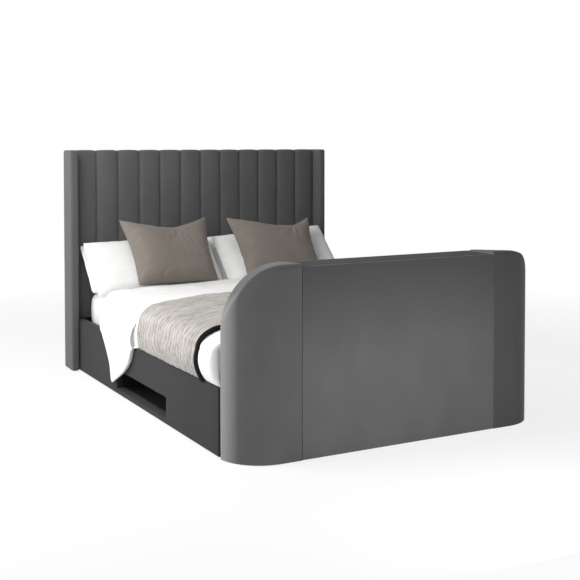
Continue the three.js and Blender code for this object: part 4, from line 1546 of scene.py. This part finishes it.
    def round_flap(self, upper: Array, lower: Array, reach: Array) -> None:
        """Rounds the hanging corner's hem, and folds in the duvet beside it.

        The thickness closes on a quarter circle towards the hem, and over the shoulder the
        step between the duvet's side and the corner is drawn in by groove * sin(pi * reach).

        Args:
            upper, lower: The two faces' points, which are moved.
            reach: How far each row reaches over the rail.
        """
        left = upper[..., 0] < self.flap_from
        way = np.linalg.norm(np.diff(upper, axis=1), axis=-1)
        from_hem = np.concatenate([np.zeros_like(reach), np.cumsum(way, axis=1)], axis=1)
        short = 1 - np.clip(from_hem / self.hem_round, 0, 1)
        share = np.where(left & (reach > 0.5), 1 - np.sqrt(1 - short**2), 0)[..., None]
        middle = 0.8 * upper + 0.2 * lower
        upper += (middle - upper) * share
        lower += (middle - lower) * share
        beside = np.where(left, eased(-upper[..., 2], *self.groove_fall), 0)
        upper[..., 1] += self.groove * np.sin(math.pi * reach) * beside

    def creases(self, upper: Array, lower: Array, place: Array) -> Array:
        """Works out the creases of the duvet's upper face.

        Args:
            upper, lower: The two faces' points.
            place: Each row's place along the duvet.

        Returns:
            How far each point of the upper face moves.
        """
        x, y, z = upper[..., 0], upper[..., 1], upper[..., 2]
        thick = np.linalg.norm(upper - lower, axis=-1)
        room = eased(thick, 0.004, 0.03)
        flap = eased(self.rail_top - z, -0.02, 0.05) * (x < 0)
        covered = eased(y, self.throw_foot - 0.02, self.throw_foot) * eased(
            -y, -self.throw_head - 0.01, -self.throw_head + 0.01,
        )
        long = soft_noise(x + 0.6 * y, 0.35 * y - x, *Noise.LONG_CREASE.value)
        short = soft_noise(x * 1.3, y, *Noise.SHORT_CREASE.value)
        moved = np.zeros_like(upper)
        at_foot = eased(-y, -self.throw_foot, -self.throw_foot + 0.02)
        crease = sum(
            (flat + more * at_foot) * noise
            for (flat, more), noise in zip(self.crease_heights, (long, short))
        )
        moved[..., 2] = (1 - flap) * (1 - covered) * room * crease
        deep = np.clip((self.rail_top - z) / self.hang, 0, 1)
        table = np.array(self.rows)
        hanging = (table[:, 1] > 0) & (table[:, 0] < self.flap_tip)
        edge = np.interp(deep, table[hanging, 2], table[hanging, 0])
        in_from_edge = (place - edge) * (y.max() - y.min())
        bent = in_from_edge + self.fold_bend * soft_noise(y, z, *Noise.FOLD_BEND.value)
        fold = 0.5 + 0.5 * np.sin(bent * TURN / self.fold_pitch)
        fading = np.exp(-np.maximum(0, in_from_edge) / self.fold_reach)
        moved[..., 0] = -flap * self.fold_height * (0.35 + 0.65 * deep) * fold * fading
        return moved

    def throw(self) -> Piece:
        """Makes the throw, whose ribs run across the bed and down its sides.

        A rib's phase is 2 pi (y / pitch + 0.4 n) with n a soft noise. Its height is
        |sin(phase / 2)|^0.8, and swells and fades along its length as another noise does.

        Returns:
            The piece.
        """
        low, high = corners("throw")
        y = np.linspace(low[1], high[1], self.throw_rows)[:, None]
        under = self.gap + self.duvet_thickness + self.throw_loft
        hem_under = self.duvet_hem + self.hem_gap
        still = 0 * y
        faces = []
        for thick in (0.0, self.throw_thickness):
            x, z = self.half_section(
                under + thick + still, hem_under + thick + still, self.puff_at(y), still, still,
                still, self.throw_points,
            )
            x, z = joined((-x, z), (x, z))
            faces.append(stacked(x, y, z + self.swell(x, y)))
        lower, upper = faces
        way = np.linalg.norm(np.diff(upper[0], axis=0), axis=-1)
        along = np.concatenate([[0.0], np.cumsum(way)])[None, :] + 0 * y
        spread = y + 0 * along
        jitter = soft_noise(along, spread, *Noise.RIB_JITTER.value)
        bend = soft_noise(along, spread, *Noise.RIB_BEND.value) + 0.6 * jitter
        phase = TURN * (y / self.rib_pitch + self.rib_bend * bend)
        strength = 0.62 + 0.38 * soft_noise(along, spread, *Noise.RIB_HEIGHT.value)
        rib = np.abs(np.sin(phase / 2)) ** self.rib_roundness * strength
        crinkles = soft_noise(1.6 * along, spread, *Noise.CRINKLE.value)
        normal = upper - lower
        normal /= np.maximum(np.linalg.norm(normal, axis=-1, keepdims=True), 1e-6)
        ends = eased(np.minimum(y - low[1], high[1] - y), 0.0, self.throw_hem)
        relief = self.rib * (2 * rib - 1) + self.crinkle * crinkles
        upper = upper + normal * (relief * ends)[..., None]
        upper = lower + (upper - lower) * (0.25 + 0.75 * ends)[..., None]
        # The rib height is kept for the finish, which paints shade in the valleys and a highlight
        # on the crests
        tone = np.clip(rib + 0.25 * crinkles, 0, 1)
        uv = np.stack([along, spread], axis=-1)
        return shell("ribbed_throw", upper, lower, sharp=80, heights=tone, uv=uv)

    def roll(self) -> Piece:
        """Makes a dark roll along the throw's foot side: painted shade for the shadow gap
        at the throw's edge.

        A circle is carried along the throw's section, square to it and to the bed's length.

        Returns:
            The piece.
        """
        foot = self.throw_foot
        still = np.zeros((1, 1))
        out = self.gap + self.duvet_thickness + self.throw_loft + self.roll_radius
        hem = self.duvet_hem + self.hem_gap + self.roll_radius
        x, z = self.half_section(
            out + still, hem + still, self.puff_at(foot + still), still, still, still,
            self.roll_points,
        )
        (x,), (z,) = joined((-x, z), (x, z))
        z = z + self.swell(x, foot + 0 * x)
        way = np.stack([np.gradient(x), np.gradient(z)], axis=-1)
        way /= np.linalg.norm(way, axis=-1, keepdims=True)
        turn = np.linspace(0, TURN, 13)[None, :-1]
        uneven = soft_noise(x[:, None], z[:, None], *Noise.ROLL.value)
        thin = self.roll_radius * (1 + self.roll_uneven * uneven)
        ring_x = x[:, None] - way[:, 1:] * thin * np.cos(turn)
        ring_y = foot - 0.6 * self.roll_radius + thin * np.sin(turn)
        ring_z = z[:, None] + way[:, :1] * thin * np.cos(turn)
        return tower("throw_painted_shadow_roll", stacked(ring_x, ring_y, ring_z), sharp=80)

    def build(self, finishes: Finishes) -> None:
        """Makes and dresses the duvet and the throw.

        Args:
            finishes: The bed's finishes.
        """
        duvet = finishes.dress(self.duvet(), "white_cotton", BED, "duvet")
        throw = finishes.dress(self.throw(), "greige_quilt", BED, "throw")
        # The dark roll at the throw's foot edge is painted shade for the shadow gap there
        edge = finishes.dress(self.roll(), "greige_quilt", BED, look="reverse")


@dataclass
class Case:
    """A pillow or cushion: a filled case that leans back against what is behind it.

    Its lean is in degrees. The cap, the start and the drawn-in share steer how it is puffed.
    """

    node: str
    slot: str
    width: float
    depth: float
    thickness: float
    lean: float
    pinch: float
    flare: float = 0.0
    raised: float = 0.0
    dent: float = 0.0
    dent_share: float = 0.0
    dent_roundness: float = 1.25
    roundness: float = 0.55
    cap: float = 0.022
    fill: float = 0.6
    start: float = 0.86
    wrinkle: float = 0.0030
    groove_width: float = 0.16
    line_size: float = 0.026
    fan_size: float = 0.032
    broad_size: float = 0.13
    side_reach: float = 0.24
    dent_reach: float = 0.19
    points: int = 73
    voxel: float = 0.007
    pressure: float = 4.0
    drawn_in: float = 0.08
    seed: int = 1

    def flat_case(self) -> Section:
        """Works out the case before it leans: two crowned faces that meet in a seam.

        The crown is start * thickness / 2 * ((1 - u^4) (1 - v^4))^0.55, on lines that stand
        closer together towards the seam. The sides draw in between the corners by the pinch,
        the case widens upwards by its flare, its right top corner is raised, and the top edge
        sinks by dent * v^2 * (1 - f^1.25), with f the share of the way from the dent to the
        corner.

        Returns:
            The front and the back.
        """
        turn = np.linspace(-QUARTER, QUARTER, self.points)
        u = (0.3 * np.sin(turn) + 0.7 * turn / QUARTER)[None, :]
        v = u.T
        above = np.maximum(v, 0)
        x = u * (self.width / 2 + self.flare / 2 * v - self.pinch * (1 - v**2) * np.abs(u))
        side = np.sign(self.dent_share - u)
        from_dent = np.abs(u - self.dent_share) / (1 + side * self.dent_share)
        sink = self.dent * above**2 * (1 - from_dent**self.dent_roundness)
        z = v * self.depth / 2 - self.pinch * above**2 * (1 - u**2)
        z = z - sink + self.raised * above * (1 + u) / 2
        full = np.maximum(0, (1 - u**4) * (1 - v**4))
        crown = self.thickness / 2 * self.start * full**self.roundness
        return stacked(x, -crown, z), stacked(x, crown, z)

    def turned(self, points: Array) -> Array:
        """Leans the case back: turns its points about the X axis.

        Args:
            points: The points of the upright case.

        Returns:
            The turned points: (x, y cos t - z sin t, y sin t + z cos t), with t = -lean.
        """
        turn = math.radians(-self.lean)
        x, y, z = points[..., 0], points[..., 1], points[..., 2]
        return stacked(
            x, y * math.cos(turn) - z * math.sin(turn), y * math.sin(turn) + z * math.cos(turn),
        )

    def wrinkled(self, points: Array) -> Array:
        """Adds the wrinkles of a filled case to its upright points.

        Grooves run in from the side seams, and where the top is dented others fan out from
        the dent. A groove lies where a soft noise n is near 0, with a depth of
        wrinkle * exp(-(n / groove_width)^2), and fades on its way as exp(-way^2) does.

        Args:
            points: The points of the upright case.

        Returns:
            The moved points.
        """
        x, y, z = points[..., 0], points[..., 1], points[..., 2]
        u = np.abs(x) / (self.width / 2)
        from_side = np.exp(-(((1 - u) * self.width / self.side_reach) ** 2))
        across = x * 0.16 + 0.3 * self.seed
        lines = soft_noise(across, z + 0.02 * np.sin(9 * x), self.line_size, self.seed)
        dent_x = self.dent_share * self.width / 2
        dent_z = self.depth / 2 - self.dent - self.pinch
        reach = np.hypot(x - dent_x, z - dent_z)
        angle = np.arctan2(z - dent_z, x - dent_x)
        fan = soft_noise(angle * 0.16, reach * 0.12, self.fan_size, self.seed + 40)
        from_dent = np.exp(-((reach / self.dent_reach) ** 2)) * eased(reach, 0.0, 0.03)
        broad = soft_noise(x + z, z - 0.5 * x, self.broad_size, self.seed + 60)
        grooves = np.maximum(
            np.exp(-((lines / self.groove_width) ** 2)) * from_side,
            np.exp(-((fan / self.groove_width) ** 2)) * from_dent * (self.dent > 0),
        )
        depth = self.wrinkle * (broad - grooves) * eased(np.abs(y), 0.004, 0.02)
        return stacked(x, y + np.sign(y) * depth, z)

    def build(self, finishes: Finishes) -> None:
        """Makes, puffs and dresses the case.

        Args:
            finishes: The bed's finishes.
        """
        low, high = corners(self.node)
        front, back = self.flat_case()
        lying = self.turned(np.stack([front, back]))
        shift = (low + high - lying.min(axis=(0, 1, 2)) - lying.max(axis=(0, 1, 2))) / 2
        piece = shell(self.node + "_case", front, back, sharp=120)
        puff(piece, self.voxel, self.pressure, self.cap, self.drawn_in)
        points = self.wrinkled(read_points(piece.data))
        move_points(piece.data, self.turned(points) + shift)
        smooth = piece.modifiers.new("smooth", "SUBSURF")
        smooth.levels = smooth.render_levels = 1
        finishes.dress(piece, self.slot, BED, self.node)


def applied(piece: Piece) -> Array:
    """Works out a piece with its modifiers.

    Args:
        piece: The piece.

    Returns:
        Its points, after its modifiers.
    """
    seen = piece.evaluated_get(bpy.context.evaluated_depsgraph_get())
    points = read_points(seen.to_mesh())
    seen.to_mesh_clear()
    return points


def puff(piece: Piece, voxel: float, pressure: float, cap: float, drawn_in: float) -> None:
    """Blows a case up as cloth, and keeps the shape.

    The case is meshed anew in small even faces. Then cloth under pressure, without weight,
    runs for 20 frames. A point's way w is kept as cap * tanh(w / cap), so none ends further
    than the cap from where it began, and no edge shows where many reach it.

    Args:
        piece: The closed piece, which keeps its name.
        voxel: The size of the new faces.
        pressure: The air pressure in it.
        cap: The furthest that a point moves.
        drawn_in: The share that the seams keep of what they would draw in.
    """
    remesh = piece.modifiers.new("remesh", "REMESH")
    remesh.mode = "VOXEL"
    remesh.voxel_size = voxel
    remesh.use_smooth_shade = True
    graph = bpy.context.evaluated_depsgraph_get()
    fresh = bpy.data.meshes.new_from_object(piece.evaluated_get(graph))
    piece.modifiers.clear()
    piece.data = fresh
    before = read_points(fresh)
    cloth = piece.modifiers.new("cloth", "CLOTH")
    for key, value in CASE_CLOTH.items():
        setattr(cloth.settings, key, value)
    cloth.settings.uniform_pressure_force = pressure
    cloth.settings.effector_weights.gravity = 0
    cloth.collision_settings.use_collision = False
    scene = bpy.context.scene
    for number in range(1, PUFF_FRAMES + 1):
        scene.frame_set(number)
    after = applied(piece)
    piece.modifiers.clear()
    scene.frame_set(1)
    moved = (after - before) * (drawn_in, 1, drawn_in)
    far = np.linalg.norm(moved, axis=1, keepdims=True)
    move_points(fresh, before + moved * cap * np.tanh(far / cap) / np.maximum(far, 1e-9))
    fresh.shade_smooth()


@dataclass
class Pillows:
    """Four white pillows and two taupe cushions, leaning against the headboard."""

    pillow_thickness: float = 0.092
    back_width: float = 0.783
    front_width: float = 0.805
    back_depth: float = 0.362
    front_depth: float = 0.410
    front_lean: float = 46
    back_leans: tuple[float, float] = (44, 40)
    back_raised: tuple[float, float] = (0.0, 0.050)
    front_raised: tuple[float, float] = (0.0, 0.062)
    pillow_pinch: float = -0.003
    cushion_widths: tuple[float, float] = (0.536, 0.556)
    cushion_depth: float = 0.450
    cushion_thickness: float = 0.130
    cushion_lean: float = 36
    cushion_pinch: float = 0.018
    cushion_flare: float = 0.030
    cushion_raised: tuple[float, float] = (0.0, -0.018)
    cushion_dent: float = 0.058
    cushion_dent_shares: tuple[float, float] = (0.16, 0.5)

    def cases(self) -> list[Case]:
        """Lists the six cases, from the headboard outwards.

        Returns:
            The four pillows and the two cushions.
        """
        pillows, cushions = [], []
        for number, side in enumerate(SIDES):
            pillows += [
                Case(
                    f"{row}_pillow_{side}", "white_cotton", width, depth, self.pillow_thickness,
                    lean, self.pillow_pinch, raised=raised[number], seed=seed + number,
                )
                for row, width, depth, lean, raised, seed in (
                    ("back", self.back_width, self.back_depth, self.back_leans[number],
                     self.back_raised, 3),
                    ("front", self.front_width, self.front_depth, self.front_lean,
                     self.front_raised, 5),
                )
            ]
            cushions.append(Case(
                f"cushion_{side}", "taupe_velvet", self.cushion_widths[number],
                self.cushion_depth, self.cushion_thickness, self.cushion_lean,
                self.cushion_pinch, self.cushion_flare, self.cushion_raised[number],
                self.cushion_dent, self.cushion_dent_shares[number],
                cap=0.028, fill=0.7, start=0.8, wrinkle=0.0060, seed=7 + number,
            ))
        return pillows + cushions

    def build(self, finishes: Finishes) -> None:
        """Makes and dresses the pillows and cushions.

        Args:
            finishes: The bed's finishes.
        """
        for case in self.cases():
            case.build(finishes)


# ---------------------------------------------------------------- the parts that keep their CAD


class Works:
    """The base, the lift and the television, whose CAD shapes stay in view."""

    def build(self, finishes: Finishes) -> None:
        """Dresses every CAD node that no new piece stands for.

        Args:
            finishes: The bed's finishes.
        """
        for node in sorted(set(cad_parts) - finishes.replaced):
            finishes.dress_node(node)


# ---------------------------------------------------------------- studio


@dataclass
class Studio:
    """A pale floor, a white surround, soft lamps and the camera.

    A lamp has a name, the place where it hangs, the point that it faces, the side of its
    square and its power in watts.
    """

    floor_half: float = 14.0
    fade: tuple[float, float] = (2.2, 4.6)
    camera_at: tuple[float, float, float] = (-2.681, -5.081, 1.3655)
    camera_tilt: float = 2.053
    camera_turn: float = 28.967
    lens: float = 65.30
    shift: tuple[float, float] = (-0.02133, -0.18941)
    ambient: float = 0.2
    floor_glow: float = 0.8
    floor_grey: float = 0.8
    sensor: float = 36
    lamps: tuple[tuple, ...] = (
        ("left_lamp", (-3.4, -0.7, 1.2), (-0.8, -1.0, 0.5), 1.2, 41),
        ("rim_lamp", (-4.0, 2.5, 1.8), (-0.8, -0.8, 0.5), 1.6, 84),
        ("front_lamp", (-0.5, -3.6, 0.4), (-0.1, -1.1, 0.2), 1.4, 22),
        ("panel_lamp", (0.0, -2.5, 0.15), (0, -1.1, 0.2), 0.8, 18),
        ("head_lamp", (-1.7, -0.5, 2.4), (-0.1, 1.0, 0.8), 1.1, 41),
        ("bed_lamp", (-0.2, 0.5, 3.4), (0, -0.2, 0.5), 1.8, 15),
    )

    @staticmethod
    def shown(desk: Desk, lit: bpy.types.Node, white: bpy.types.Node) -> bpy.types.Node:
        """Shows one shader to the eye, and another to the light that falls on the bed.

        Args:
            desk: The desk.
            lit: The shader for the light.
            white: The shader for camera, glossy and transmission rays.

        Returns:
            The mixing node.
        """
        rays = desk.add("LightPath").outputs
        seen = rays["Is Camera Ray"]
        for kind in ("Is Glossy Ray", "Is Transmission Ray"):
            seen = desk.add("Math", {0: seen, 1: rays[kind]}, operation="MAXIMUM").outputs[0]
        return desk.add("MixShader", {0: seen, 1: lit.outputs[0], 2: white.outputs[0]})

    def floor(self) -> None:
        """Lays the floor, which shows white and keeps the bed's soft shadow."""
        rows = np.linspace(-self.floor_half, self.floor_half, 9)
        x, y = np.meshgrid(rows, rows)
        mesh = bpy.data.meshes.new("studio_floor")
        mesh.from_pydata(stacked(x, y, 0 * x).reshape(-1, 3).tolist(), [], net(9, 9).tolist())
        piece = bpy.data.objects.new("studio_floor", mesh)
        bpy.context.scene.collection.objects.link(piece)
        desk = Desk.new("pale_floor")
        plain = desk.add("BsdfDiffuse", {"Color": (self.floor_grey,) * 3})
        lit = desk.add("BsdfDiffuse", {"Color": (1 - self.floor_glow,) * 3})
        glow, clear = (
            desk.add("Emission", {"Color": WHITE, "Strength": strength})
            for strength in (self.floor_glow, 1.0)
        )
        shadow = desk.add("AddShader", {0: lit.outputs[0], 1: glow.outputs[0]})
        away = desk.add("VectorMath", {0: desk.place()}, operation="LENGTH").outputs["Value"]
        fade = desk.spread(away, 0, 1, *self.fade)
        white = desk.add("MixShader", {0: fade, 1: shadow.outputs[0], 2: clear.outputs[0]})
        both = self.shown(desk, plain, white)
        desk.add("OutputMaterial", {"Surface": both.outputs[0]})
        mesh.materials.append(desk.owner)

    def surround(self) -> None:
        """Sets the world: white to the eye, and a soft even light on the bed."""
        world = bpy.data.worlds.new("white_studio")
        bpy.context.scene.world = world
        desk = Desk(world)
        light, white = (
            desk.add("Background", {"Color": WHITE, "Strength": strength})
            for strength in (self.ambient, 1.0)
        )
        desk.add("OutputWorld", {"Surface": self.shown(desk, light, white).outputs[0]})

    @staticmethod
    def lamp(
        name: str, at: Sequence[float], to: Sequence[float], size: float, power: float,
    ) -> None:
        """Hangs a soft lamp.

        Args:
            name: The lamp's name.
            at: Where it hangs.
            to: The point that it faces.
            size: The side of its square.
            power: Its power in watts.
        """
        light = bpy.data.lights.new(name, "AREA")
        light.size = size
        light.energy = power
        lamp = bpy.data.objects.new(name, light)
        lamp.location = at
        x, y, z = np.subtract(at, to)
        lamp.rotation_euler = (math.atan2(math.hypot(x, y), z), 0, math.atan2(x, -y))
        bpy.context.scene.collection.objects.link(lamp)

    def camera(self) -> None:
        """Sets up the camera at the photograph's viewing angle."""
        lens = bpy.data.cameras.new("photo_camera")
        lens.sensor_width, lens.lens = self.sensor, self.lens
        lens.shift_x, lens.shift_y = self.shift
        eye = bpy.data.objects.new("photo_camera", lens)
        eye.location = self.camera_at
        eye.rotation_euler = (
            math.radians(90 - self.camera_tilt), 0, -math.radians(self.camera_turn),
        )
        bpy.context.scene.collection.objects.link(eye)
        bpy.context.scene.camera = eye

    def build(self) -> None:
        """Sets up the studio."""
        self.camera()
        self.floor()
        self.surround()
        for lamp in self.lamps:
            self.lamp(*lamp)
        bpy.context.scene.view_settings.view_transform = "Standard"
        log.info("studio: camera, floor, surround and %d lamps", len(self.lamps))


def main() -> None:
    """Builds the bed's pieces one sub-assembly after another."""
    logging.basicConfig(level=logging.INFO, format="%(name)s: %(message)s")
    Studio().build()
    finishes = Finishes()
    for part in (Headboard(), Rails(), Pod(), Mattress(), Cloths(), Pillows(), Works()):
        part.build(finishes)


if __name__ == "__main__":
    main()
